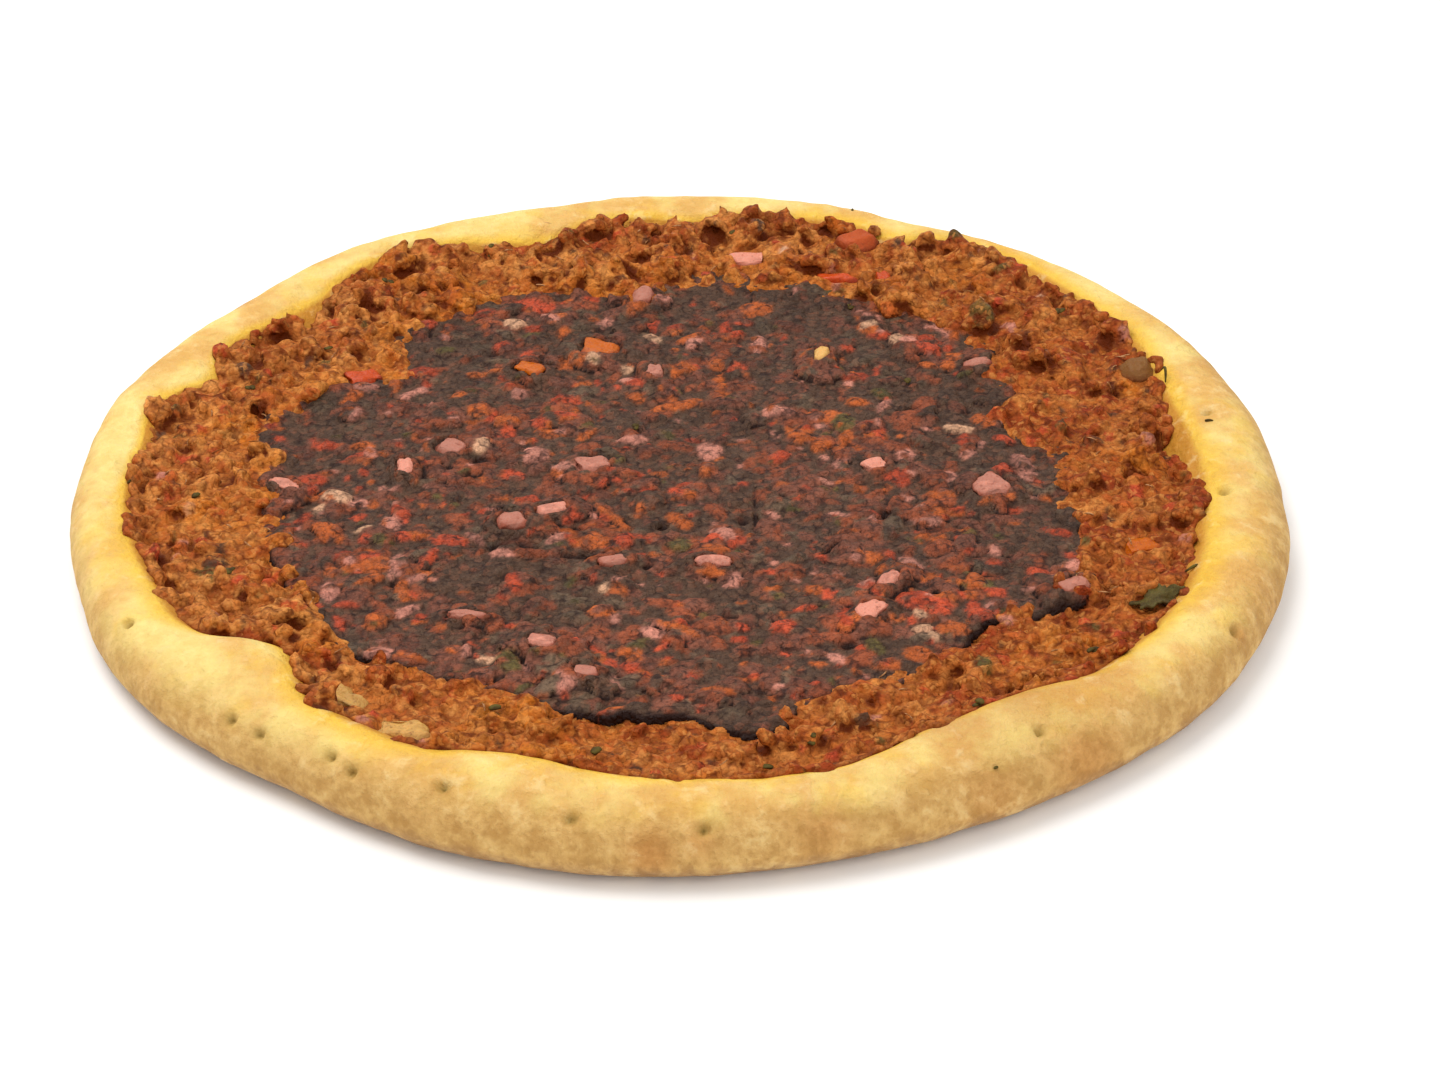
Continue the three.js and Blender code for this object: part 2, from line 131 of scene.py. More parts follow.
class BitSettings(bpy.types.PropertyGroup):
    onion: colour("Onion", "Cooked pink onion", 174, 112, 93)
    onion_edge: colour("Onion edge", "Browned edge of an onion dice", 136, 68, 48)
    browned: colour("Browned onion", "Fried onion", 184, 138, 72)
    browned_edge: colour("Browned onion edge", "Brown edge of fried onion", 124, 72, 26)
    orange: colour("Orange pepper", "Roasted orange pepper", 182, 88, 10)
    orange_edge: colour("Orange pepper edge", "Browned orange pepper", 132, 50, 10)
    red: colour("Red pepper", "Roasted red pepper", 184, 68, 22)
    red_edge: colour("Red pepper edge", "Browned red pepper", 122, 38, 14)
    tomato: colour("Tomato", "Cooked tomato", 174, 74, 26)
    tomato_edge: colour("Tomato edge", "Browned tomato", 126, 54, 24)
    green: colour("Green pepper", "Fried green pepper", 122, 78, 30)
    green_edge: colour("Green pepper edge", "Browned green pepper", 112, 62, 24)
    seed: colour("Seed", "Toasted seed", 214, 164, 92)
    seed_edge: colour("Seed edge", "Browned end of the seed", 150, 86, 34)
    leaf: colour("Leaf", "Dried parsley", 92, 80, 30)
    leaf_edge: colour("Leaf edge", "Burnt parsley", 64, 48, 20)
    fibre: colour("Fibre", "Thin strands of meat", 190, 140, 96)


class StageSettings(bpy.types.PropertyGroup):
    floor: colour("Floor", "Pale studio floor", 250, 249, 247)
    elevation: FloatProperty(
        name="Elevation", description="Camera's angle above the floor", subtype="ANGLE",
        default=math.radians(32.4),
    )
    distance: length("Distance", "Camera to the point that it aims at", 600)
    focal: FloatProperty(name="Focal length", description="Lens on a 36 mm sensor, in mm", default=93)


# ---------------------------------------------------------------- repeatable unevenness


def hashed(cell, seed):
    """A repeatable draw from 0 to 1 for each whole-numbered cell."""
    mixed = (cell @ np.array([374761393, 668265263, 1274126177]) + seed * 362437) & 0xFFFFFFFF
    mixed = ((mixed ^ (mixed >> 13)) * 1103515245) & 0xFFFFFFFF
    mixed = ((mixed ^ (mixed >> 16)) * 747796405) & 0xFFFFFFFF
    return (mixed ^ (mixed >> 15)) / 0xFFFFFFFF


def lumps(points, size, seed=0):
    """Smooth noise from -1 to 1 whose lumps are about this size."""
    spot = points / size
    cell = np.floor(spot).astype(np.int64)
    part = spot - cell
    part = part * part * (3 - 2 * part)
    total = np.zeros(len(points))
    for corner in np.ndindex(2, 2, 2):
        share = np.prod(np.where(corner, part, 1 - part), axis=1)
        total += share * hashed(cell + np.array(corner), seed)
    return 2 * total - 1


def grains(points, size, seed=0):
    """How near a point is to the middle of its grain: 1 there, and 0 far between grains."""
    spot = points / size
    cell = np.floor(spot).astype(np.int64)
    nearest = np.full(len(points), np.inf)
    for step in np.ndindex(3, 3, 3):
        there = cell + np.array(step) - 1
        middle = there + np.stack([hashed(there, seed + axis) for axis in (1, 2, 3)], axis=1)
        nearest = np.minimum(nearest, np.linalg.norm(spot - middle, axis=1))
    return 1 - np.clip(nearest, 0, 1)


def smooth(low, high, value):
    """0 below low, 1 above high, and an even rise between them."""
    share = np.clip((value - low) / (high - low), 0, 1)
    return share * share * (3 - 2 * share)


def in_space(x, y):
    """The places at these x and y on the floor, as a list of points."""
    return np.stack([x, y, np.zeros_like(x)], axis=-1).reshape(-1, 3)


# ---------------------------------------------------------------- meshes


def corners_of(piece):
    corners = np.empty(len(piece.data.vertices) * 3, np.float32)
    piece.data.vertices.foreach_get("co", corners)
    return corners.reshape(-1, 3).astype(float)


def move_corners(piece, corners):
    piece.data.vertices.foreach_set("co", np.asarray(corners, np.float32).ravel())
    piece.data.update()


def normals_of(piece):
    normals = np.empty(len(piece.data.vertices) * 3, np.float32)
    piece.data.vertex_normals.foreach_get("vector", normals)
    return normals.reshape(-1, 3).astype(float)


def deselect():
    bpy.ops.object.select_all(action="DESELECT")


def only(piece):
    """Makes the piece the one that operators act on."""
    deselect()
    piece.select_set(True)
    bpy.context.view_layer.objects.active = piece


def in_edit_mode(piece, *steps):
    """Runs the steps on the whole piece in edit mode."""
    only(piece)
    bpy.ops.object.mode_set(mode="EDIT")
    bpy.ops.mesh.select_all(action="SELECT")
    for step in steps:
        step()
    bpy.ops.object.mode_set(mode="OBJECT")
    return piece


def weld():
    bpy.ops.mesh.remove_doubles(threshold=1e-6)


def face_outwards():
    bpy.ops.mesh.normals_make_consistent(inside=False)


def modify(piece, kind, **settings):
    """Adds a modifier with these settings and applies it."""
    only(piece)
    modifier = piece.modifiers.new(kind, kind)
    for key, value in settings.items():
        setattr(modifier, key, value)
    bpy.ops.object.modifier_apply(modifier=modifier.name)
    return piece


def named(name):
    """The object just added, named, with its place in its mesh."""
    piece = bpy.context.object
    piece.name = piece.data.name = name
    bpy.ops.object.transform_apply(location=True, rotation=True, scale=True)
    return piece


def new_piece(name, corners, faces):
    """A piece from lists of its corners' places and of its faces' corners."""
    mesh = bpy.data.meshes.new(name)
    mesh.from_pydata(corners, [], faces)
    piece = bpy.data.objects.new(name, mesh)
    bpy.context.scene.collection.objects.link(piece)
    return piece


def joined(name, parts):
    """The parts as one piece."""
    deselect()
    for part in parts:
        part.select_set(True)
    bpy.context.view_layer.objects.active = parts[0]
    if len(parts) > 1:
        bpy.ops.object.join()
    parts[0].name = parts[0].data.name = name
    return parts[0]


def keep_value(piece, name, values):
    """Stores a number for each corner, which a material reads by this name."""
    layer = piece.data.attributes.new(name, "FLOAT", "POINT")
    layer.data.foreach_set("value", np.asarray(values, np.float32))


def keep_colour(piece, name, colours):
    """Stores a colour for each corner, which a material reads by this name."""
    layer = piece.data.attributes.new(name, "FLOAT_COLOR", "POINT")
    full = np.concatenate([colours, np.ones((len(colours), 1))], axis=1)
    layer.data.foreach_set("color", full.astype(np.float32).ravel())


def finish(piece, material, slot, *nodes):
    """Gives the piece its material and its place in the frame: smooth, riding on the root."""
    piece.data.materials.clear()
    piece.data.materials.append(material)
    only(piece)
    bpy.ops.object.shade_smooth()
    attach(piece, "root")
    if nodes:
        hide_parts(*nodes)


def wrapped(name, rows, steps, closed_up=False):
    """A grid wrapped round Z. Each row is a radius and a height, numbers or arrays over the steps.

    It runs from the axis back to the axis, or where closed_up from its first row back to it.
    """
    rows = rows + rows[:1] if closed_up else rows
    deselect()
    bpy.ops.mesh.primitive_grid_add(x_subdivisions=steps, y_subdivisions=len(rows) - 1, size=1)
    piece = named(name)
    flat = corners_of(piece)
    step = np.rint((flat[:, 0] + 0.5) * steps).astype(int) % steps
    row = np.rint((flat[:, 1] + 0.5) * (len(rows) - 1)).astype(int)
    radius, height = (
        np.array([np.broadcast_to(each[part], steps) for each in rows])[row, step] for part in (0, 1)
    )
    turn = 2 * np.pi * step / steps
    move_corners(piece, np.stack([radius * np.cos(turn), radius * np.sin(turn), height], axis=1))
    return in_edit_mode(piece, weld, face_outwards)


def polar(corners):
    """Radius and turn of each corner."""
    return np.hypot(corners[:, 0], corners[:, 1]), np.arctan2(corners[:, 1], corners[:, 0])


# ---------------------------------------------------------------- the round's plan, read from the solids

FLOOR_HEIGHT = 4.8 * MM  # dough under the mince
FOOT_INSET = 6.5 * MM  # the flat underside stops this far inside the outline
BELLY_HEIGHT = 4.6 * MM  # where the side stands out furthest
CREST_SHARE = 0.42  # place of the crest between the mince's edge and the outline
FRONT_SHARE = 0.3  # the same at the front, where the mince's edge lies close to it
SLOPE_RUN = 6 * MM  # the rim's inner slope runs this far in under the mince
COLUMNS = 72  # turned sections of the bread's solid

SHEET_RADIUS = 69.5 * MM
SHEET_BELLS = [  # where the sheet's edge leaves its circle: angle and width in degrees, push in mm
    (0, 8, -4.5), (17, 9, -12), (33, 6, -5), (99, 6.5, -9.5), (147, 6, -11), (169, 5, 4.5),
    (222, 10, 4.5), (262, 26, 2.6), (280, 6, 3.2), (316, 6, -3), (331, 7, 4), (352, 5, -3),
]  # fmt: skip


def evened(values, width):
    """A turn's values with each replaced by the mean of width neighbours."""
    padded = np.concatenate([values[-width:], values, values[:width]])
    return np.convolve(padded, np.ones(width) / width, "same")[width:-width]


def bells(turn, list_of_bells):
    """Bulges along a turn, in metres. Each has its angle and width in degrees and its push in mm."""
    for at, wide, push in list_of_bells:
        off = (np.degrees(turn) - at + 540) % 360 - 180
        yield push * MM * np.exp(-((off / wide) ** 2))


class Plan:
    """Outline, crest height and filling edge of the bread at any turn."""

    FINE = 1440  # places round the turn
    EVENED = 21  # neighbours that each value is averaged over

    def __init__(self, corners):
        radius, turn = polar(corners)
        spacing = 360 / COLUMNS
        angle = np.degrees(turn) % 360
        column = np.rint(angle / spacing).astype(int)
        on_column = np.abs(angle - column * spacing) < 0.05
        column = column % COLUMNS
        outer, crest, filling = [], [], []
        for each in range(COLUMNS):
            mine = on_column & (column == each) & (radius > 40 * MM)
            far = radius[mine].max()
            floor = mine & (np.abs(corners[:, 2] - FLOOR_HEIGHT) < 0.05 * MM) & (radius < far - 4 * MM)
            outer.append(far)
            crest.append(corners[mine, 2].max())
            filling.append(radius[floor].max() + SLOPE_RUN)
        self.angles = np.arange(self.FINE) * 360 / self.FINE
        self.outer, self.crest, self.filling = (
            evened(np.interp(self.angles, np.arange(COLUMNS) * spacing, line, period=360), self.EVENED)
            for line in (outer, crest, filling)
        )

    def at(self, line, turn):
        return np.interp(np.degrees(turn) % 360, self.angles, line, period=360)

    def crest_radius(self, turn):
        filling = self.at(self.filling, turn)
        share = CREST_SHARE + (FRONT_SHARE - CREST_SHARE) * smooth(-0.6, -0.9, np.sin(turn))
        return filling + share * (self.at(self.outer, turn) - filling)

    def dough_top(self, radius, turn):
        """Height of the dough's upper surface."""
        crest = self.crest_radius(turn)
        top = self.at(self.crest, turn)
        out = np.clip((radius - crest) / (self.at(self.outer, turn) - crest), 0, 1)
        rim = BELLY_HEIGHT + (top - BELLY_HEIGHT) * np.sqrt(1 - out**2)
        share = np.clip((crest - radius) / (crest - self.at(self.filling, turn) + SLOPE_RUN), 0, 1) ** 1.5
        slope = FLOOR_HEIGHT + (top - FLOOR_HEIGHT) * (0.5 + 0.5 * np.cos(np.pi * share))
        return np.where(radius > crest, rim, slope)

    def sheet_edge(self, turn):
        """Radius of the scorched sheet, before its raggedness."""
        edge = np.full_like(turn, SHEET_RADIUS)
        for bell in bells(turn, SHEET_BELLS):
            edge += bell
        return edge


plan = Plan(corners_of(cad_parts["bread"]))


class Lie:
    """How a bit's solid lies: its middle, half length, half width, turn, top and bottom."""

    def __init__(self, node):
        corners = corners_of(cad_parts[node])
        low, high = corners.min(axis=0), corners.max(axis=0)
        spread = np.cov((corners - corners.mean(axis=0))[:, :2].T)
        self.turn = 0.5 * math.atan2(2 * spread[0, 1], spread[0, 0] - spread[1, 1])
        along = corners[:, :2] @ np.array([math.cos(self.turn), math.sin(self.turn)])
        across = corners[:, :2] @ np.array([-math.sin(self.turn), math.cos(self.turn)])
        self.half = np.array([np.ptp(along), np.ptp(across), np.ptp(corners[:, 2])]) / 2
        self.middle = (low + high) / 2
        self.top = high[2]

    def reach(self, x, y):
        """1 on the bit's outline, less inside and more outside."""
        dx, dy = x - self.middle[0], y - self.middle[1]
        along = dx * math.cos(self.turn) + dy * math.sin(self.turn)
        across = dy * math.cos(self.turn) - dx * math.sin(self.turn)
        return (np.abs(along / self.half[0]) ** 3 + np.abs(across / self.half[1]) ** 3) ** (1 / 3)


BIT_KINDS = ("onion", "browned_onion", "orange_pepper", "red_pepper", "tomato", "green_pepper", "seed")
BIT_NODES = {
    kind: sorted(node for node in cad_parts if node.rsplit("_", 1)[0] == kind) for kind in BIT_KINDS
}
LEAF_NODE = "parsley_leaf"
LIES = {node: Lie(node) for nodes in BIT_NODES.values() for node in nodes}
LIES[LEAF_NODE] = Lie(LEAF_NODE)


BED_DEPTH = 1.5 * MM  # a bit's bed lies this far under its top


def bedded(x, y, height):
    """The heap's height with a bank against each bit, whose top stays proud of it, and a bed under it."""
    for lie in LIES.values():
        off = lie.reach(x, y)
        bank = 0.85 * smooth(1.9, 1.1, off)
        proud = 0.45 * MM + 1.6 * max(0, lie.half[2] - BED_DEPTH)
        height = height + np.maximum(0, lie.top - proud - height) * bank
        bed = lie.top - BED_DEPTH
        height = height + (np.minimum(height, bed) - height) * smooth(1.0, 0.75, off)
    return height


# ---------------------------------------------------------------- materials


class Wire:
    """A number in a material's nodes. Sums and products of wires add Math nodes."""

    def __init__(self, paint, socket):
        self.paint = paint
        self.socket = socket

    def maths(self, operation, *values):
        """What a Math node makes of these values."""
        made = self.paint.node("ShaderNodeMath", dict(enumerate(values)), operation=operation)
        return Wire(self.paint, made.outputs[0])

    def __add__(self, other):
        return self.maths("ADD", self, other)

    __radd__ = __add__

    def __sub__(self, other):
        return self.maths("SUBTRACT", self, other)

    def __rsub__(self, other):
        return self.maths("SUBTRACT", other, self)

    def __mul__(self, other):
        return self.maths("MULTIPLY", self, other)

    __rmul__ = __mul__

    def most(self, other):
        """The larger of the two."""
        return self.maths("MAXIMUM", self, other)

    def between(self, low, high):
        """0 below low, 1 above high, and an even rise between them."""
        sockets = {"Value": self, "From Min": low, "From Max": high}
        made = self.paint.node("ShaderNodeMapRange", sockets, interpolation_type="SMOOTHSTEP", clamp=True)
        return Wire(self.paint, made.outputs["Result"])


class Paint:
    """A material's nodes round one Principled shader."""

    def __init__(self, name):
        self.material = bpy.data.materials.new(name)
        self.material.use_nodes = True
        self.tree = self.material.node_tree
        self.tree.nodes.clear()
        self.shader = self.node("ShaderNodeBsdfPrincipled")
        self.node("ShaderNodeOutputMaterial", {"Surface": self.shader.outputs[0]})
        self.place = self.node("ShaderNodeTexCoord").outputs["Object"]

    def node(self, kind, sockets=None, **settings):
        """Any node, from its type, its settings and the values or links of its sockets."""
        made = self.tree.nodes.new(kind)
        for key, value in settings.items():
            setattr(made, key, value)
        for name, value in (sockets or {}).items():
            self.feed(made.inputs[name], value)
        return made

    def feed(self, socket, value):
        """Sets a socket, or links it where the value is another node's."""
        value = value.socket if isinstance(value, Wire) else value
        if isinstance(value, bpy.types.NodeSocket):
            self.tree.links.new(value, socket)
        elif socket.type == "RGBA":
            socket.default_value = (*value[:3], 1)
        else:
            socket.default_value = value

    def noise(self, size, detail=3, roughness=0.55):
        """Noise from 0 to 1 whose largest forms are about this size."""
        sockets = {"Vector": self.place, "Scale": 1 / size, "Detail": detail, "Roughness": roughness}
        return Wire(self, self.node("ShaderNodeTexNoise", sockets).outputs[0])

    def bent(self, size, push):
        """The piece's coordinates pushed about by noise."""
        noise = self.node("ShaderNodeTexNoise", {"Vector": self.place, "Scale": 1 / size, "Detail": 2})
        centred = {0: noise.outputs["Color"], 1: (0.5, 0.5, 0.5)}
        centred = self.node("ShaderNodeVectorMath", centred, operation="SUBTRACT").outputs[0]
        moved = {0: centred, 1: (push, push, push), 2: self.place}
        return self.node("ShaderNodeVectorMath", moved, operation="MULTIPLY_ADD").outputs[0]

    def cells(self, size, place):
        """How far a point is from the middle of its cell, in cells, and a draw for each cell."""
        made = self.node("ShaderNodeTexVoronoi", {"Vector": place, "Scale": 1 / size})
        return Wire(self, made.outputs["Distance"]), Wire(self, made.outputs["Color"])

    def value(self, name):
        """A number that the piece's corners hold."""
        return Wire(self, self.node("ShaderNodeAttribute", attribute_name=name).outputs["Fac"])

    def held_colour(self, name):
        """A colour that the piece's corners hold."""
        return self.node("ShaderNodeAttribute", attribute_name=name).outputs["Color"]

    def height(self):
        """Height over the surface that the round lies on, in metres."""
        parts = self.node("ShaderNodeSeparateXYZ", {0: self.place})
        return Wire(self, parts.outputs["Z"])

    def mix(self, share, first, second, blend="MIX"):
        """The first colour where share is 0 and the second where it is 1."""
        made = self.node("ShaderNodeMix", data_type="RGBA", blend_type=blend)
        self.feed(made.inputs["Factor"], share)
        colours = [socket for socket in made.inputs if socket.type == "RGBA"]
        self.feed(colours[0], first)
        self.feed(colours[1], second)
        return [socket for socket in made.outputs if socket.type == "RGBA"][0]

    def bump(self, height, depth, under=None):
        """A normal raised by height, from 0 to 1, times depth in metres."""
        sockets = {"Height": height, "Distance": depth, "Strength": 1}
        if under is not None:
            sockets["Normal"] = under
        return self.node("ShaderNodeBump", sockets).outputs["Normal"]

    def surface(self, **values):
        """Sets or links the shader's sockets, named with _ for a space, and gives the material."""
        for name, value in values.items():
            self.feed(self.shader.inputs[name.replace("_", " ")], value)
        return self.material


def paint_dough(settings):
    paint = Paint("baked_dough")
    blotch = paint.noise(14 * MM, 3)
    mottle = paint.noise(3.6 * MM, 5, 0.62)
    fine = paint.noise(1.1 * MM, 3)
    crust = paint.mix((blotch + 0.35 * (mottle - 0.5)).between(0.42, 0.62), settings.crest, settings.peach)
    # The side's colour: partly toast, partly painted shade on the lower side and at the front right.
    side = (paint.value("side") + 0.6 * (blotch - 0.5) + 0.5 * (mottle - 0.5)).between(0.12, 0.95)
    crust = paint.mix(side, crust, settings.side)
    oiled = (paint.value("oil") + 0.5 * (mottle - 0.5)).between(0.1, 0.8)
    crust = paint.mix(0.85 * oiled, crust, settings.oiled)
    yellow = paint.noise(8 * MM, 4, 0.6).between(0.5, 0.68) * (1 - side)
    crust = paint.mix(0.4 * yellow, crust, settings.oiled)
    soaked = (paint.value("oil") + 0.3 * (mottle - 0.5)).between(0.74, 1.02)
    crust = paint.mix(0.8 * soaked, crust, settings.soaked)
    browned = (paint.value("toast") + 0.7 * (mottle - 0.5)).between(0.22, 0.9)
    crust = paint.mix(0.7 * browned, crust, settings.toasted)
    # Prick holes are painted darker at their bottoms: painted shade.
    crust = paint.mix(paint.value("prick"), crust, settings.prick_shade)
    # Greyer and darker towards the floor: partly flour, partly painted shade low on the side.
    floury_and_shaded = 1 - (paint.height() + 0.006 * (mottle - 0.5)).between(1.2 * MM, 5.2 * MM)
    crust = paint.mix(0.85 * floury_and_shaded, crust, settings.floured_and_shaded)
    dusty = (mottle + 0.3 * (blotch - 0.5)).between(0.56, 0.74) * (1 - side * 0.4)
    crust = paint.mix(0.4 * dusty, crust, settings.dusted)
    patchy = (mottle + 0.4 * (fine - 0.5)).between(0.32, 0.68)
    # Fine patches, darker and paler than the crust, and more so on the side.
    darker = paint.mix(side, (0.93, 0.9, 0.84), (0.78, 0.71, 0.61))
    paler = paint.mix(side, (1.05, 1.08, 1.13), (1.1, 1.15, 1.22))
    shade = paint.mix(patchy, darker, paler)
    crust = paint.mix(1.0, crust, shade, "MULTIPLY")
    normal = paint.bump(mottle, 1.2 * MM)
    normal = paint.bump(fine, 0.22 * MM, normal)
    return paint.surface(
        Base_Color=crust, Roughness=0.7 - 0.2 * oiled, Normal=normal, Subsurface_Weight=0.12,
        Subsurface_Radius=(1.0, 0.6, 0.25), Subsurface_Scale=1.6 * MM, Specular_IOR_Level=0.15,
    )  # fmt: skip


def paint_meat(name, gap_shade_colour, warm, cool, share, crumb_size, gloss):
    """Meat whose colour its corners hold, in small crumbs of their own tints, with painted shade in the gaps
    and hollows between them.
    """
    paint = Paint(name)
    fine = paint.noise(0.7 * MM, 4, 0.65)
    bent = paint.bent(1.6 * MM, 1.1 * MM)
    crumb, draw = paint.cells(crumb_size, bent)
    grain, fine_draw = paint.cells(0.5 * crumb_size, bent)
    meat = paint.mix((fine + 0.5 * (draw - 0.5)).between(0.2, 0.8), (0.66, 0.64, 0.62), (1.3, 1.27, 1.24))
    meat = paint.mix(1.0, paint.held_colour("meat"), meat, "MULTIPLY")
    meat = paint.mix(draw.between(0.62, 0.9) * share, meat, warm)
    meat = paint.mix((1 - fine_draw).between(0.62, 0.9) * share, meat, cool)
    # Painted shade: darker at the borders of the cells, between the crumbs, and where the corners lie deep.
    open_places = paint.noise(2.4 * MM, 3, 0.6).between(0.38, 0.62)
    gaps = crumb.between(0.5, 0.82) * (0.4 + 0.6 * open_places)
    gaps = gaps.most(0.6 * grain.between(0.55, 0.85) * open_places)
    hollow = (paint.value("hollow") + 0.35 * (fine - 0.5)).between(0.12, 0.9)
    meat = paint.mix(hollow.most(0.85 * gaps), meat, gap_shade_colour)
    normal = paint.bump(1 - crumb, 0.34 * crumb_size)
    normal = paint.bump(1 - grain, 0.16 * crumb_size, normal)
    normal = paint.bump(fine, 0.3 * MM, normal)
    shine = paint.noise(1.7 * MM, 3).between(0.42, 0.7)
    return paint.surface(
        Base_Color=meat, Roughness=0.6 - 0.2 * shine, Normal=normal, Specular_IOR_Level=gloss,
    )  # fmt: skip


def paint_bit(name, flesh, edge, roughness=0.32, lighter=1.2, streak=1.4 * MM):
    """A cooked bit: flesh with paler streaks, browned at its edges."""
    paint = Paint(name)
    grain = paint.noise(streak, 3, 0.6)
    fine = paint.noise(0.5 * MM, 3)
    pale = tuple(min(1, value * lighter) for value in flesh)
    body = paint.mix((grain + 0.7 * (paint.value("own") - 0.5)).between(0.32, 0.74), flesh, pale)
    browned = paint.value("edge") + 1.1 * (grain - 0.5) + 0.5 * (0.5 - paint.value("own"))
    browned = browned.between(0.22, 0.95)
    spots = paint.noise(0.9 * MM, 4, 0.65).between(0.55, 0.68)
    body = paint.mix((0.9 * browned).most(0.6 * spots), body, edge)
    normal = paint.bump(grain, 0.35 * MM)
    normal = paint.bump(fine, 0.12 * MM, normal)
    return paint.surface(
        Base_Color=body, Roughness=roughness + 0.25 * browned, Normal=normal, Subsurface_Weight=0.2,
        Subsurface_Radius=(1.0, 0.5, 0.35), Subsurface_Scale=0.8 * MM, Specular_IOR_Level=0.2,
    )  # fmt: skip


def paint_strand(name, body, dark):
    """Thin things: one colour, mottled with a darker one."""
    paint = Paint(name)
    mottle = paint.noise(1.1 * MM, 3)
    tint = paint.mix(mottle.between(0.35, 0.65), dark, body)
    return paint.surface(Base_Color=tint, Roughness=0.5 + 0.2 * mottle, Specular_IOR_Level=0.12)


# ---------------------------------------------------------------- dough

DOUGH_STEPS = 760  # turned sections of the baked round
TOAST_AND_SHADE_TURN = math.radians(-55)  # turn where the rim's side is painted darkest: most toasted, and in painted shade away from the key lamp
# Prick holes: angle in degrees and distance from the centre in mm.
PRICKS = [
    (9.8, 89), (209.4, 96.7), (227, 97), (230.4, 96.8), (238.2, 95.6), (240.8, 96.6), (249.6, 95.6),
    (261.2, 97.2), (272.4, 98), (304.8, 93.3), (330.8, 97.8), (354, 88.2),
]  # fmt: skip
PRICK_LIP = 0.16 * MM  # how high dough stands round a prick hole
BLISTER_HEIGHT = 0.32 * MM
# Blisters: angle in degrees, distance from the centre and size in mm.
BLISTERS = [(268.7, 99, 1.5), (276.7, 98.4, 1.3), (267.5, 99.8, 1.2), (284, 97, 1.1), (316, 96.4, 1.4)]
# Toasted spots: angle in degrees, distance from the centre and size in mm, strength.
TOASTS = [
    (144.8, 96.6, 4, 0.9), (268, 100, 5, 0.8), (272, 99, 4, 0.6), (298, 98.5, 9, 0.6), (308, 99, 10, 0.7),
    (338.9, 98, 10, 0.5), (63.6, 99, 9, 0.4), (43, 99, 10, 0.4), (217, 98.5, 9, 0.4), (247.8, 98, 8, 0.4),
    (282.1, 98.5, 8, 0.6), (331, 98.4, 3, 0.7), (353.6, 94, 5, 0.4), (20, 95, 8, 0.45), (110, 97, 8, 0.3),
    (183, 97, 7, 0.35), (196, 98, 5, 0.4), (299, 87, 11, 0.7), (307, 87, 12, 0.8), (315, 90, 11, 0.6),
]  # fmt: skip
# Places where more oil has crept up: angle and width in degrees, reach in mm.
OIL_BELLS = [(234, 12, 6), (345, 22, 5), (30, 14, 3), (65, 14, 3), (205, 10, 3), (262, 8, 2), (283, 12, -1.5)]


def dough_rows():
    """The turned sections, from the middle of the underside round the rim to the middle of the floor."""
    turn = 2 * np.pi * np.arange(DOUGH_STEPS) / DOUGH_STEPS
    outer, filling = plan.at(plan.outer, turn), plan.at(plan.filling, turn)
    crest, top = plan.crest_radius(turn), plan.at(plan.crest, turn)
    foot, floor = outer - FOOT_INSET, filling - SLOPE_RUN
    rows = [(foot * share, 0) for share in (0, 0.35, 0.65, 0.85, 0.95, 1)]
    for bend in np.linspace(0, np.pi / 2, 11)[1:]:
        rows.append((foot + FOOT_INSET * np.sin(bend), BELLY_HEIGHT * (1 - np.cos(bend))))
    for bend in np.linspace(0, np.pi / 2, 25)[1:]:
        radius = crest + (outer - crest) * np.cos(bend)
        rows.append((radius, BELLY_HEIGHT + (top - BELLY_HEIGHT) * np.sin(bend)))
    for share in np.linspace(0, 1, 23)[1:]:
        radius = crest + (floor - crest) * share
        rows.append((radius, plan.dough_top(radius, turn)))
    return rows + [(floor * share, FLOOR_HEIGHT) for share in (0.8, 0.4, 0)]


def on_dough(angle, radius):
    """The place on the dough's top at this angle, in degrees, and distance from the centre, in mm."""
    turn = math.radians(angle)
    out = min(radius * MM, float(plan.at(plan.outer, turn)) - 0.3 * MM)
    return np.array([out * math.cos(turn), out * math.sin(turn), float(plan.dough_top(out, turn))])


def off_spot(corners, angle, distance, size):
    """How far corners lie from a spot on the dough, in times its size."""
    return np.linalg.norm(corners - on_dough(angle, distance), axis=1) / size


def spotted(corners, spots):
    """The strongest of the spots at each corner. A spot is an angle, a distance, a size and a strength."""
    share = np.zeros(len(corners))
    for angle, distance, size, strength in spots:
        share = np.maximum(share, strength * np.exp(-(off_spot(corners, angle, distance, size) ** 2)))
    return share


def dough_rise(corners, settings):
    """How far the baked surface stands out: soft lumps, prick holes with a raised lip, and blisters."""
    rise = settings.swell * (0.7 * lumps(corners, 15 * MM, 3) + 0.4 * lumps(corners, 6 * MM, 4))
    rise += 0.1 * MM * lumps(corners, 2.6 * MM, 5)
    for angle, distance in PRICKS:
        off = off_spot(corners, angle, distance, settings.prick_radius)
        rise += PRICK_LIP * np.exp(-(((off - 2.1) / 0.8) ** 2)) - settings.prick_depth * np.exp(-(off**2))
    for angle, distance, size in BLISTERS:
        rise += BLISTER_HEIGHT * np.exp(-(off_spot(corners, angle, distance, size * MM) ** 2))
    return rise


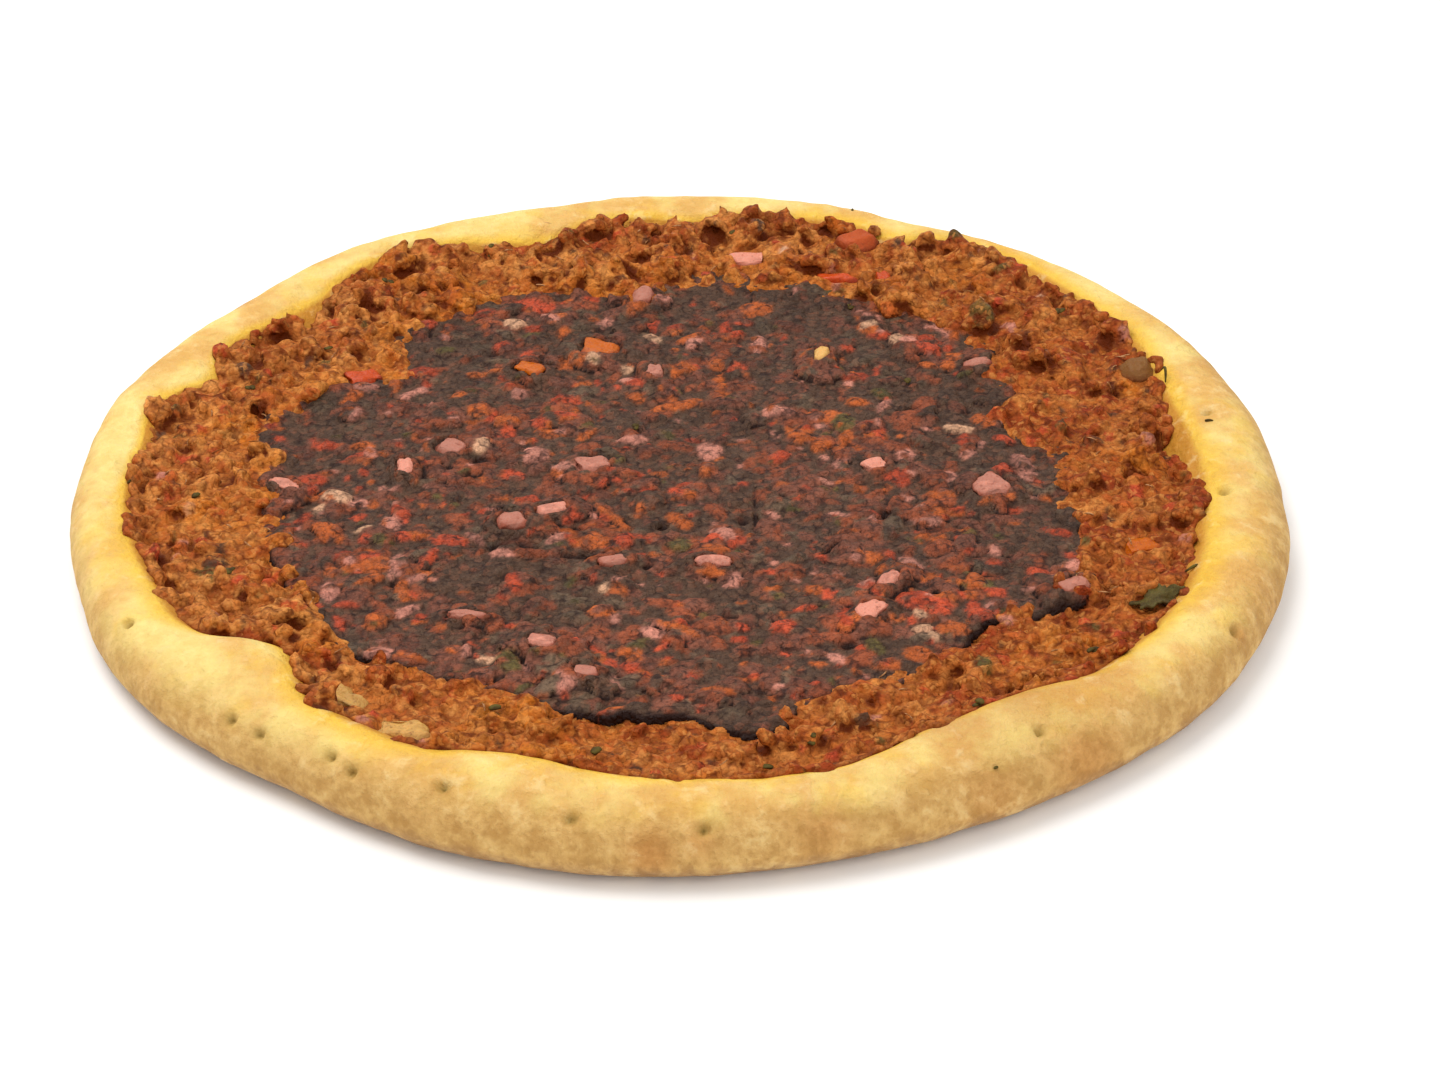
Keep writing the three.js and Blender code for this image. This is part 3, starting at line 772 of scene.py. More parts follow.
def side_toast_and_shade(corners):
    """1 low on the rim's outer side, falling to 0 at its crest, with more of it at the front right. It marks
    toast and painted shade: the lower side and the front right, away from the key lamp, are painted darker.
    """
    radius, turn = polar(corners)
    crest, outer = plan.crest_radius(turn), plan.at(plan.outer, turn)
    front_right = 0.5 + 0.5 * np.cos(turn - TOAST_AND_SHADE_TURN)
    out = np.clip((radius - crest) / (outer - crest), 0, 1)
    low = smooth(7 * MM, 3 * MM, corners[:, 2]) * (out > 0)
    share = (0.55 + 0.45 * front_right) * np.maximum(out**1.6, low) + 0.18 * front_right
    return np.clip(share, 0, 1)


def oil_share(corners, settings):
    """1 at the mince's edge, falling to 0 where the oil has crept to."""
    radius, turn = polar(corners)
    creep = settings.oil_reach * (1 + 0.4 * lumps(corners, 9 * MM, 8) + 0.2 * lumps(corners, 3 * MM, 9))
    for bell in bells(turn, OIL_BELLS):
        creep += bell
    return np.clip(1 - (radius - plan.at(plan.filling, turn)) / np.maximum(creep, 1.5 * MM), 0, 1)


def model_bread(settings):
    """The baked round, with what its material reads at each corner."""
    piece = wrapped("bread_round", dough_rows(), DOUGH_STEPS)
    corners, normals = corners_of(piece), normals_of(piece)
    off_floor = smooth(0.1 * MM, 1.5 * MM, corners[:, 2])
    move_corners(piece, corners + normals * (dough_rise(corners, settings) * off_floor)[:, None])
    pricks = [(*prick, settings.prick_radius, 1) for prick in PRICKS]
    toasts = [(angle, distance, size * MM, strength) for angle, distance, size, strength in TOASTS]
    keep_value(piece, "prick", spotted(corners, pricks))
    keep_value(piece, "toast", spotted(corners, toasts))
    keep_value(piece, "side", side_toast_and_shade(corners))
    keep_value(piece, "oil", oil_share(corners, settings))
    return piece


# ---------------------------------------------------------------- heaps of crumbs


def blurred(values, width):
    """A raster averaged over a square of this many cells to each side."""
    for axis in (0, 1):
        shifted = [np.roll(values, shift, axis) for shift in range(-width, width + 1)]
        values = sum(shifted) / len(shifted)
    return values


class Heap:
    """Heights over a square raster. Lumps are dropped on it, and it knows which one lies on top."""

    def __init__(self, half, cell, start):
        self.half, self.cell = half, cell
        line = np.arange(-half, half + cell, cell)
        self.x, self.y = np.meshgrid(line, line, indexing="ij")
        spots = in_space(self.x, self.y)
        self.warp_x = self.x + 0.4 * MM * lumps(spots, 1.9 * MM, 21).reshape(self.x.shape)
        self.warp_y = self.y + 0.4 * MM * lumps(spots, 1.9 * MM, 22).reshape(self.x.shape)
        self.z = start(self.x, self.y)
        self.on_top = np.full(self.x.shape, -1)

    def spot(self, x, y):
        """Row and column of the cell at a place."""
        last = len(self.x) - 1
        i = np.clip(np.rint((np.asarray(x) + self.half) / self.cell).astype(int), 0, last)
        j = np.clip(np.rint((np.asarray(y) + self.half) / self.cell).astype(int), 0, last)
        return i, j

    def drop(self, number, x, y, z, half, turn):
        """Lays an ellipsoid of these half sizes, turned about Z, with its middle at z."""
        reach = max(half[0], half[1]) + 0.6 * MM
        (i0, j0), (i1, j1) = self.spot(x - reach, y - reach), self.spot(x + reach, y + reach)
        window = (slice(int(i0), int(i1) + 1), slice(int(j0), int(j1) + 1))
        dx, dy = self.warp_x[window] - x, self.warp_y[window] - y
        along = (dx * math.cos(turn) + dy * math.sin(turn)) / half[0]
        across = (dy * math.cos(turn) - dx * math.sin(turn)) / half[1]
        left = 1 - along**2 - across**2
        cap = np.where(left > 0, z + half[2] * np.sqrt(np.clip(left, 0, 1)), -1)
        wins = cap > self.z[window]
        self.z[window][wins] = cap[wins]
        self.on_top[window][wins] = number

    def cracked(self, cracks):
        """1 in the middle of a crack or pit, fading to 0 over its edge."""
        share = np.zeros(self.x.shape)
        for x, y, long, wide, turned in cracks:
            swing = math.radians(turned)
            dx, dy = self.warp_x - x * MM, self.warp_y - y * MM
            along = (dx * math.cos(swing) + dy * math.sin(swing)) / (long * MM / 2)
            across = (dy * math.cos(swing) - dx * math.sin(swing)) / (wide * MM / 2)
            share = np.maximum(share, np.exp(-(along**2) - across**2))
        broken = smooth(-0.9, 0.1, lumps(in_space(self.x, self.y), 2.2 * MM, 23)).reshape(self.x.shape)
        return share * (0.3 + 0.7 * broken)

    def shades(self, colours, bare, softness):
        """The colour of what lies on top of each cell, run together a little."""
        shade = np.where((self.on_top >= 0)[..., None], colours[self.on_top], np.array(bare))
        return 0.55 * shade + 0.45 * blurred(shade, softness)


def lump_template(finer):
    """Corners and faces of a ball of 80 or 20 triangles."""
    deselect()
    bpy.ops.mesh.primitive_ico_sphere_add(subdivisions=2 if finer else 1, radius=1)
    ball = bpy.context.object
    corners = corners_of(ball)
    faces = np.array([face.vertices[:] for face in ball.data.polygons])
    bpy.data.objects.remove(ball)
    return corners, faces


def lump_cloud(name, template, middles, halves, turns, draw):
    """One mesh of many lopsided lumps."""
    corners, faces = template
    many = len(middles)
    swell = 1 + 0.22 * draw.uniform(-1, 1, (many, len(corners), 1))
    tilt = draw.uniform(-0.5, 0.5, many)
    each = corners[None] * swell * halves[:, None]
    up = each[..., 2] * np.cos(tilt)[:, None] + each[..., 0] * np.sin(tilt)[:, None]
    out = each[..., 0] * np.cos(tilt)[:, None] - each[..., 2] * np.sin(tilt)[:, None]
    cos, sin = np.cos(turns)[:, None], np.sin(turns)[:, None]
    placed = np.stack([out * cos - each[..., 1] * sin, out * sin + each[..., 1] * cos, up], axis=-1)
    placed = (placed + middles[:, None]).reshape(-1, 3)
    wound = (faces[None] + np.arange(many)[:, None, None] * len(corners)).reshape(-1, 3)
    return new_piece(name, placed.tolist(), wound.tolist())


def tucked(lie, draw, count, long):
    """Places and sizes of crumbs that lie on a bit's edge: place, half sizes and turn."""
    for swing in draw.uniform(0, 2 * np.pi, count):
        along, across = lie.half[0] * math.cos(swing), lie.half[1] * math.sin(swing)
        x = lie.middle[0] + along * math.cos(lie.turn) - across * math.sin(lie.turn)
        y = lie.middle[1] + along * math.sin(lie.turn) + across * math.cos(lie.turn)
        half = long * draw.uniform(0.7, 1.2) * np.array([1, draw.uniform(0.4, 0.6), 0.32])
        turn = lie.turn + math.atan2(lie.half[1] * math.cos(swing), -lie.half[0] * math.sin(swing))
        yield (x, y, lie.top - 0.3 * lie.half[2] - 0.6 * half[2]), half, turn + draw.uniform(-0.5, 0.5)


def room(x, y):
    """How far a place lies outside the nearest bit, roughly."""
    return np.min([(lie.reach(x, y) - 0.9) * lie.half[:2].min() for lie in LIES.values()], axis=0)


# ---------------------------------------------------------------- ring of crumbled mince

RING_STEPS = 420  # turned sections of the ring's core
CORE_HEIGHT = 8.4 * MM
STAND = (2.0 * MM, 2.9 * MM)  # how far the heap stands over its core, at the front and at the back
UNDER_SHEET = 5 * MM  # the ring runs in under the sheet
STEP = 1.2 * MM  # the ring lies this much lower at stretches of the sheet's front edge
RING_RASTER = 96 * MM  # half the side of the raster under the ring, and its spacing
RING_CELL = 0.4 * MM
SEEN_FROM = 8.6 * MM  # faces that look down are hidden below this height
CORE_LIMIT = 10.4 * MM  # the core rises no higher where it fills holes between the crumbs
FILL_DEPTH = 1.3 * MM  # it fills them to this far under the heap's mean height
PIT_DEPTH = 1.3 * MM
OUTER_BITS = 66 * MM  # bits further out than this lie in the ring

# The ring's lumps come in three generations, each with its largest and its smallest half length.
CLUMP, GRANULE, GRAIN = range(3)
LUMP_SIZES = ((3.7 * MM, 2.0 * MM), (1.8 * MM, 0.9 * MM), (0.85 * MM, 0.5 * MM))
HIGH_FRONT = (3.75, 0.35)  # turn and width, in radians, of the stretch at the front left with larger lumps
OVERHANG = (-0.35, 0.0, 0.4)  # how far they may lie over the mince's edge, in half lengths
FRONT_OVERHANG = (0.5, 0.9, 0.9)  # how much further at the front
DEEPEST_HOLE = (0, 1.7 * MM, 1.1 * MM)  # none is dropped in a deeper hole
EDGE_CRUMBS = (4, 8, 12)  # one lump in this many lies along the ring's outer edge

Lump = namedtuple("Lump", "generation place half turn kind")

# Pits of the ring: place, length and width in mm, turn in degrees. They are sunk and filled with painted
# shade.
RING_PITS = [
    (-56, 57, 3.3, 2.8, 90), (-47, 60, 3, 2.1, 90), (-32, 66, 2.3, 1.6, 90), (73, 27, 3.1, 1.5, 90),
    (63, 34, 2.1, 2.1, 90), (59, 42, 7.8, 2.4, 90), (53, 60, 3.3, 3.2, 90), (50, 62, 4.5, 2.1, 90),
    (-10, 68, 3, 2.2, 90), (-21, 65, 2.3, 1.8, 90), (-71, 20, 2.7, 2.4, 90), (-62, 56, 2.5, 2.2, 0),
    (-52, 63, 3, 1.8, 90),
]  # fmt: skip
# Coloured bits of the ring: place, half length and half width in mm, turn in degrees.
RING_BITS = {
    "char": [
        (-75, 32, 2.1, 1.4, 90), (-87, 12, 2.6, 1.2, 90), (-74, 13, 2.9, 1.2, 90), (-72, -11, 1.8, 1, 90),
        (13, 82, 2.2, 1.5, 90), (73, 27, 1.7, 0.8, 90),
    ],
    "cream": [
        (-79, -13, 1.4, 0.7, 90), (63, 59, 1.8, 1.2, 90), (79, 10, 1.6, 1.2, 90), (18, 74, 2.3, 1.3, 90),
    ],
    "olive": [
        (-74, -31, 2.5, 1.6, 0), (49, 78, 1.5, 1.5, 90), (46, -57, 2.7, 1.5, 90), (52, 49, 3.2, 2.3, 90),
    ],
    "red": [
        (-83, -26, 2.1, 0.9, 90), (-64, -35, 1.9, 1.2, 90), (74, -6, 3.1, 1.3, 90), (4, -77, 1.9, 1, 90),
        (-45, -71, 1.9, 0.9, 90), (59, -63, 1.6, 1.3, 0), (-54, -54, 3.6, 0.8, -61),
    ],
    "amber": [
        (-88, -20, 2.1, 1, 90), (64, 50, 1.4, 1.1, 90), (-52, 56, 1.8, 0.9, 90), (36, 54, 2.7, 1.5, 90),
        (-83, -3, 1.6, 1.1, 90), (52, -48, 1.7, 1.4, 0), (-41, 58, 2.9, 2.7, 90), (-45, -60, 2.3, 1.9, 0),
        (-70, 22, 2.7, 1.7, 90),
    ],
}  # fmt: skip


DRAWN_IN = 1.5 * MM  # how far the mince stops short of its edge at the right
DRAWN_IN_AT = 0.14  # the turn where it does, in radians


def ragged_filling(turn):
    """The mince's edge with its crumbs' raggedness, drawn in a little at the right."""
    round_line = in_space(np.cos(turn), np.sin(turn)) * 87 * MM
    rag = 1.5 * MM * lumps(round_line, 9 * MM, 31) + 0.8 * MM * lumps(round_line, 3.4 * MM, 32) - 0.3 * MM
    drawn_in = DRAWN_IN * np.exp(-((np.sin((turn - DRAWN_IN_AT) / 2) / 0.06) ** 2))
    return plan.at(plan.filling, turn) + rag.reshape(np.shape(turn)) - drawn_in


def stepped_down(radius, turn):
    """1 where the ring lies lower than the sheet: in stretches along the sheet's front edge."""
    spots = in_space(radius * np.cos(turn), radius * np.sin(turn))
    stretches = smooth(-0.25, 0.35, lumps(spots, 8 * MM, 35) + 0.3 * lumps(spots, 3 * MM, 36))
    front = smooth(-0.15, -0.55, np.sin(turn)) * smooth(7 * MM, 2.5 * MM, radius - plan.sheet_edge(turn))
    return front * stretches.reshape(np.shape(turn))


def core_height(x, y):
    """The heap's surface before crumbs are dropped: low, thinning to nothing at its edge."""
    radius, turn = np.hypot(x, y), np.arctan2(y, x)
    inside = smooth(0, 4 * MM, ragged_filling(turn) - radius)
    dough = plan.dough_top(radius, turn)
    level = CORE_HEIGHT - STEP * stepped_down(radius, turn)
    height = bedded(x, y, np.maximum(dough + 0.5 * MM * inside, level * inside))
    return np.where(radius > ragged_filling(turn), dough - 0.3 * MM, height)


def ring_scatter(generation, count, draw):
    """Where a generation's lumps fall: their x, y, half sizes, height, share sunk in the heap and turn."""
    turn = draw.uniform(0, 2 * np.pi, count)
    back = 0.5 + 0.5 * np.sin(turn)
    back = np.maximum(back, 0.7 * np.exp(-(((turn - HIGH_FRONT[0]) / HIGH_FRONT[1]) ** 2)))
    at_edge = np.arange(count) % EDGE_CRUMBS[generation] == 0
    half = np.linspace(*LUMP_SIZES[generation], count) * (0.76 + 0.3 * back) * np.where(at_edge, 0.75, 1)
    edge = ragged_filling(turn)
    over = OVERHANG[generation] + FRONT_OVERHANG[generation] * smooth(-0.2, -0.75, np.sin(turn))
    inner, outer = plan.sheet_edge(turn) - 3 * MM, edge + over * half
    radius = np.sqrt(draw.uniform(inner**2, outer**2))
    radius = np.where(at_edge, edge - draw.uniform(-0.3, 1.1, count) * half, radius)
    x, y = radius * np.cos(turn), radius * np.sin(turn)
    shape = [np.ones(count), draw.uniform(0.65, 0.95, count), draw.uniform(0.7, 0.95, count)]
    sizes = half[:, None] * np.stack(shape, axis=1)
    fade = 0.7 + 0.3 * smooth(0, 5 * MM, edge - radius)
    fade = fade * (0.3 + 0.7 * smooth(0, 4 * MM, room(x, y)))
    mound = 0.8 * MM * lumps(in_space(x, y), 9 * MM, 33)
    step = stepped_down(radius, turn)
    stand = STAND[0] + (STAND[1] - STAND[0]) * back
    stand = stand * draw.uniform(0.1, 1, count) * fade * (1 - 0.3 * step)
    stand = CORE_HEIGHT - STEP * step + mound + stand
    on_slope = plan.dough_top(radius, turn) - np.where(at_edge, 0.4, 0.1) * sizes[:, 2]
    stand = np.where(at_edge, on_slope, np.maximum(stand - sizes[:, 2], on_slope))
    return x, y, sizes, stand, draw.uniform(0.0, 0.45, count), draw.uniform(0, np.pi, count)


def lay(heap, found, lump):
    """Drops the lump on the heap and adds it to those found there."""
    heap.drop(len(found), *lump.place, lump.half, lump.turn)
    found.append(lump)


def ring_lumps(settings, heap, draw):
    """Drops clumps, then granules, then grains, then the placed bits and the crumbs tucked round bits."""
    clear = room(heap.x, heap.y)
    found = []
    for generation, count in enumerate((settings.clumps, settings.granules, settings.grains)):
        x, y, sizes, stand, sink, swing = ring_scatter(generation, count, draw)
        level = blurred(heap.z, 7)
        for each in range(count):
            spot = heap.spot(x[each], y[each])
            ground = heap.z[spot]
            in_hole = generation != CLUMP and ground < level[spot] - DEEPEST_HOLE[generation]
            if in_hole or clear[spot] < 0.6 * sizes[each, 0]:
                continue
            z = stand[each] if generation == CLUMP else ground - sink[each] * sizes[each, 2]
            lay(heap, found, Lump(generation, (x[each], y[each], z), sizes[each], swing[each], None))
    for kind, bits in RING_BITS.items():
        for x, y, long, wide, turned in bits:
            half = np.array([long, wide, 0.6 * wide + 0.4]) * MM
            place = (x * MM, y * MM, heap.z[heap.spot(x * MM, y * MM)] - 0.35 * half[2])
            lay(heap, found, Lump(GRANULE, place, half, math.radians(turned), kind))
    for lie in LIES.values():
        if np.hypot(*lie.middle[:2]) > OUTER_BITS:
            for place, half, turn in tucked(lie, draw, 4, 1.4 * MM):
                lay(heap, found, Lump(GRANULE, place, half * (1, 1.2, 2), turn, None))
    return found


def ring_core(heap):
    """The closed slab that holds the crumbs together. It fills what would be deep holes between them."""
    level = blurred(heap.z, 6) - FILL_DEPTH
    turn = 2 * np.pi * np.arange(RING_STEPS) / RING_STEPS
    edge, inner = ragged_filling(turn), plan.sheet_edge(turn) - UNDER_SHEET
    rows = [(inner, np.full(RING_STEPS, FLOOR_HEIGHT))]
    for share in (0.3, 0.55, 0.75, 0.88, 0.96):
        radius = inner + (edge - inner) * share
        rows.append((radius, plan.dough_top(radius, turn) - 0.25 * MM))
    rows.append((edge, plan.dough_top(edge, turn) + 0.1 * MM))
    for share in (0.98, *np.linspace(0.95, 0, 30)):
        radius = inner + (edge - inner) * share
        x, y = radius * np.cos(turn), radius * np.sin(turn)
        filled = np.minimum(level[heap.spot(x, y)], CORE_LIMIT) * (share < 0.96)
        rows.append((radius, np.maximum(core_height(x, y), filled)))
    return wrapped("mince_core", rows, RING_STEPS, closed_up=True)


# Coloured bits among the crumbs: share of the granules, and the setting that holds the colour.
RING_SPICE = [(0.05, "red"), (0.05, "amber"), (0.025, "olive"), (0.01, "blush")]


def spiced(pick):
    """The kind of bit that a draw from 0 to 1 gives, which is mostly none."""
    for share, kind in RING_SPICE:
        if pick < share:
            return kind
        pick -= share
    return None


def ring_colours(settings, sheet, found, draw):
    """A colour for each lump: lean to pale or rusty, with some bits of vegetable and herb."""
    colours, lean = np.empty((len(found), 3)), np.array(settings.lean)
    middles = np.array([lump.place for lump in found])
    radius, turn = polar(middles)
    cast = 0.9 * lumps(middles, 6 * MM, 55) + 0.4 * lumps(middles, 2.5 * MM, 56)
    cast += 0.3 * smooth(-0.3, -0.9, np.cos(turn)) - 0.45 * smooth(0.4, 0.9, np.cos(turn))
    cast -= 0.15 * smooth(9 * MM, 1 * MM, plan.at(plan.filling, turn) - radius)
    for number, lump in enumerate(found):
        side = cast[number] + draw.uniform(-0.5, 0.5)
        other = np.array(settings.pale if side > 0 else settings.rusty)
        shade = lean + (other - lean) * min(1, abs(side)) * 1.15
        kind = lump.kind
        if lump.generation == GRANULE and not kind:
            kind = spiced(draw.uniform())
        if kind:
            shade = np.array(getattr(sheet, kind)) * draw.uniform(0.9, 1.15)
        elif draw.uniform() < 0.02 + 0.02 * (turn[number] > 0):
            shade = np.array(settings.burnt)
        colours[number] = shade
    return colours


def fused_ring(settings, heap, found, draw):
    """The core and its crumbs as one closed mesh, thinned out where it faces down or lies hidden."""
    clouds = [ring_core(heap)]
    for generation in (CLUMP, GRANULE, GRAIN):
        mine = [(lump.place, lump.half, lump.turn) for lump in found if lump.generation == generation]
        middles, halves, turns = (np.array(column) for column in zip(*mine))
        clouds.append(lump_cloud("lumps", lump_template(generation < GRAIN), middles, halves, turns, draw))
    piece = joined("mince_ring", clouds)
    modify(piece, "REMESH", mode="VOXEL", voxel_size=settings.voxel, adaptivity=0)
    corners, normals = corners_of(piece), normals_of(piece)
    radius, turn = polar(corners)
    sunk = corners[:, 2] < plan.dough_top(radius, turn) - 0.7 * MM
    covered = (radius < ragged_sheet(turn) - 1.5 * MM) & (corners[:, 2] < SHEET_BASE - 1 * MM)
    hidden = np.flatnonzero(((normals[:, 2] < -0.1) & (corners[:, 2] < SEEN_FROM)) | sunk | covered)
    piece.vertex_groups.new(name="hidden").add(hidden.tolist(), 1, "REPLACE")
    return modify(piece, "DECIMATE", ratio=1 - 0.9 * len(hidden) / len(corners), vertex_group="hidden")


def oiliness(corners):
    """How much of the orange oil's colour the ring takes: in wide patches, and beside the sheet."""
    radius, turn = polar(corners)
    wide = smooth(0.25, 0.8, lumps(corners, 13 * MM, 53) + 0.4 * lumps(corners, 4 * MM, 54))
    inner = smooth(8 * MM, 1 * MM, radius - plan.sheet_edge(turn))
    oil = 0.6 * wide + 0.4 * inner * (0.5 - 0.5 * np.cos(turn + 0.6))
    return np.clip(oil * (0.65 + 0.6 * lumps(corners, 2.6 * MM, 57)), 0, 0.6)


def model_ring(settings, sheet):
    """The crumbs fused over their core, with the colour of each corner and how deep it lies between them,
    which the material turns into painted shade.
    """
    draw = np.random.default_rng(41)
    heap = Heap(RING_RASTER, RING_CELL, core_height)
    found = ring_lumps(settings, heap, draw)
    piece = fused_ring(settings, heap, found, draw)
    corners, normals = corners_of(piece), normals_of(piece)
    pits = heap.cracked(RING_PITS)
    rough = 0.26 * (grains(corners, 1.4 * MM, 51) - 0.45) + 0.1 * lumps(corners, 1.1 * MM, 52)
    upper = smooth(-0.2, 0.3, normals[:, 2])
    corners += normals * (rough * MM * (0.35 + 0.65 * upper))[:, None]
    corners[:, 2] -= PIT_DEPTH * pits[heap.spot(corners[:, 0], corners[:, 1])] * upper
    move_corners(piece, corners)
    spot = heap.spot(corners[:, 0], corners[:, 1])
    shade = heap.shades(ring_colours(settings, sheet, found, draw), settings.lean, 1)[spot]
    shade = shade + (np.array(settings.oily) - shade) * oiliness(corners)[:, None]
    keep_colour(piece, "meat", shade)
    # Painted shade: corners below the heap's mean height, in crevices and pits, are painted darker.
    deep = np.clip((blurred(heap.z, 6)[spot] - corners[:, 2]) / (1.5 * MM), 0, 1)
    near = np.clip((blurred(heap.z, 2)[spot] - corners[:, 2] - 0.05 * MM) / (0.6 * MM), 0, 1)
    # The ring's foot on the dough is painted darker: partly an oily fringe, partly a painted contact shadow.
    foot = smooth(1.3 * MM, 0.1 * MM, corners[:, 2] - plan.dough_top(*polar(corners)))
    deep = np.maximum(deep, 0.85 * near)
    keep_value(piece, "hollow", np.maximum(np.maximum(deep, pits[spot]), 0.5 * foot))
    return piece


# ---------------------------------------------------------------- scorched middle

SHEET_BASE = 9.15 * MM  # the sheet's surface starts no higher than this, before bits are dropped on it
SHEET_FOOT = 5.0 * MM  # its shell is closed at this height, deep inside the heap
SHEET_RASTER = 80 * MM  # half the side of the raster under the sheet
SHEET_SIDE = 78 * MM  # half the side of the square that it is cut out of
CRACK_DEPTH = 1.3 * MM
PRESSED_AT = 0.8 * MM  # what stands higher over the sheet than this is pressed down
PRESSED_SHARE = 0.35  # to this share
# Darker and redder patches of the sheet: place and radius in mm.
SCORCHED = [
    (-42, 44, 10), (-62, 21, 8), (-68, 10, 6), (21, 60, 15), (-22, 45, 7), (44, 24, 11), (58, 8, 8),
    (-32, -26, 8), (-52, -50, 7), (-39, -61, 7), (-12, -69, 7), (11, -72, 6), (57, -42, 7), (2, 16, 9),
    (40, -60, 6), (-5, 50, 7), (-20, -38, 6), (62, -16, 6),
]  # fmt: skip
REDDENED = [
    (-54, 33, 8), (-27, 58, 7), (-22, 19, 9), (-55, -18, 9), (-58, -46, 6), (38, -44, 10), (17, -66, 6),
    (31, -64, 7), (-43, -43, 8), (37, -18, 8), (3, 28, 8), (12, 40, 7), (-12, -22, 8), (54, 36, 6),
    (-48, 2, 7),
]  # fmt: skip
# Cracks and pits: place, length and width in mm, and turn in degrees. They are sunk and filled with painted
# shade.
CRACKS = [
    (-49, 38, 4.2, 2.1, 90), (-70, 2, 3, 2.5, 0), (-33, 4, 3.6, 2.6, 0), (-33, 40, 1.9, 1.8, 0),
    (-44, 40, 1.6, 1.4, 0), (-24, 35, 1.7, 1.5, 90), (12, 63, 1.9, 1.4, 90), (38, 21, 4, 1.3, 22),
    (48, 20, 3, 1.5, 90), (-45, -33, 1.7, 1.4, 90), (-47, -56, 6.4, 2.7, 0), (-36, -62, 9.9, 3.2, 0),
    (33, -12, 3.2, 2.4, 0), (10, -14, 2.7, 2.2, 90), (-15, -25, 8.2, 1.5, 0), (66, -17, 3.9, 3.5, 90),
    (59, -40, 5.3, 3.4, 0), (52, -43, 5.2, 2.5, 0), (44, -52, 5.8, 3.3, 0), (40, -61, 4.2, 3.2, 0),
    (62, -30, 6.6, 1.7, 0), (26, -50, 2.7, 1.6, 0), (40, -36, 1.7, 1.4, 90), (-3, -16, 2.1, 1.6, 90),
    (-5, -28, 1.9, 1.5, 0), (-16, -17, 2.9, 1.5, 0), (-27, -22, 11, 2.2, 0), (12, -12, 8.5, 1, 90),
    (24, -23, 4.9, 0.8, 46), (-53, -48, 3.7, 2.5, 0),
]  # fmt: skip
# The largest bits on the sheet, listed one by one: place, half length and half width in mm, turn in degrees.
SHEET_BITS = {
    "char": [
        (-68, 5, 5, 3.5, 0), (-10, 17, 4.6, 3.5, 90), (30, 22, 6, 3.4, 90), (53, 6, 3.5, 3.3, 90),
        (-44, 41, 5.2, 3.9, 0), (3, 61, 6, 4, 0), (-36, 22, 4.2, 4, 0), (-55, -45, 3.3, 3.2, 90),
        (60, -22, 3.3, 3, 0), (64, 5, 3.2, 2.6, 90),
    ],
    "rust": [
        (2, 36, 3, 3.4, 90), (38, 17, 3.3, 3.2, 90), (41, 22, 3.4, 2.2, 90), (-21, 21, 3.2, 2.5, 0),
        (-58, -32, 3, 2.3, 90),
    ],
    "red": [
        (-46, 50, 3, 2.3, 0), (-26, 57, 4.2, 2.9, 0), (-29, 13, 3.3, 1.2, 90), (9, 34, 3.1, 1.9, 90),
        (15, -30, 4.2, 0.9, 0), (-51, -53, 3.4, 0.7, -45), (34, -64, 3, 1.7, 0),
    ],
    "amber": [
        (-49, 31, 5.1, 1.1, 90), (13, 56, 3, 3, 90), (-1, 22, 4.8, 1.6, 23), (-16, 12, 3.3, 0.9, 58),
        (47, 49, 3.1, 1.7, 90), (-48, -28, 2.8, 2.6, 0), (-11, -14, 5.1, 0.8, -53), (-14, -21, 3.2, 2.4, 0),
        (0, -47, 4.2, 0.9, -33), (41, -20, 4, 0.8, 51), (42, -46, 3.1, 1.9, 0),
    ],
    "blush": [(-8, 11, 2.8, 1.5, 0), (-19, 1, 2.5, 1.3, 0), (16, 19, 2.9, 1.3, 0), (50, -24, 2.1, 0.9, 90)],
    "cream": [(-30, 50, 2.3, 1.8, 0), (-29, -54, 2.6, 0.8, 0), (37, 44, 2.1, 1.3, 90)],
}  # fmt: skip
# How many smaller bits of each kind are strewn among them, their half lengths in mm and their slimness.
STREWN_BITS = {"char": 10, "rust": 23, "red": 28, "amber": 42, "blush": 13, "cream": 13}
STREWN_LENGTH = (1.3, 2.8)
STREWN_SLIMNESS = (0.45, 0.9)
STREWN_REACH = 0.93  # they lie within this share of the sheet's radius


def patches(x, y, list_of_patches):
    """1 in the middle of a patch, fading to 0."""
    share = np.zeros(np.shape(x))
    for at_x, at_y, size in list_of_patches:
        off = np.hypot(x - at_x * MM, y - at_y * MM) / (size * MM)
        share = np.maximum(share, np.exp(-(off**2)))
    return share


def ragged_sheet(turn):
    """The sheet's edge with its raggedness, drawn in a little at the front."""
    round_line = in_space(np.cos(turn), np.sin(turn)) * 70 * MM
    rag = 1.6 * MM * lumps(round_line, 7 * MM, 61) + 1.1 * MM * lumps(round_line, 2.6 * MM, 62)
    drawn_in = 1.4 * MM * smooth(-0.3, -0.8, np.sin(turn))
    return plan.sheet_edge(turn) + rag.reshape(np.shape(turn)) - drawn_in


def sheet_start(x, y):
    """The sheet's surface before bits are dropped: gently wavy."""
    spots = in_space(x, y)
    wave = 0.3 * lumps(spots, 22 * MM, 63) + 0.2 * lumps(spots, 8 * MM, 64)
    return bedded(x, y, SHEET_BASE + (wave.reshape(np.shape(x)) - 0.5) * MM)


# Kinds of the sheet's bits and how often each is found in an ordinary, a scorched and a reddened place.
SHEET_KINDS = {
    "char": (0.08, 0.62, 0.04),
    "ash": (0.08, 0.12, 0.03),
    "mauve": (0.43, 0.17, 0.22),
    "rust": (0.22, 0.04, 0.28),
    "red": (0.05, 0.01, 0.2),
    "amber": (0.06, 0.01, 0.17),
    "blush": (0.05, 0.01, 0.06),
    "olive": (0.02, 0.02, 0.02),
}


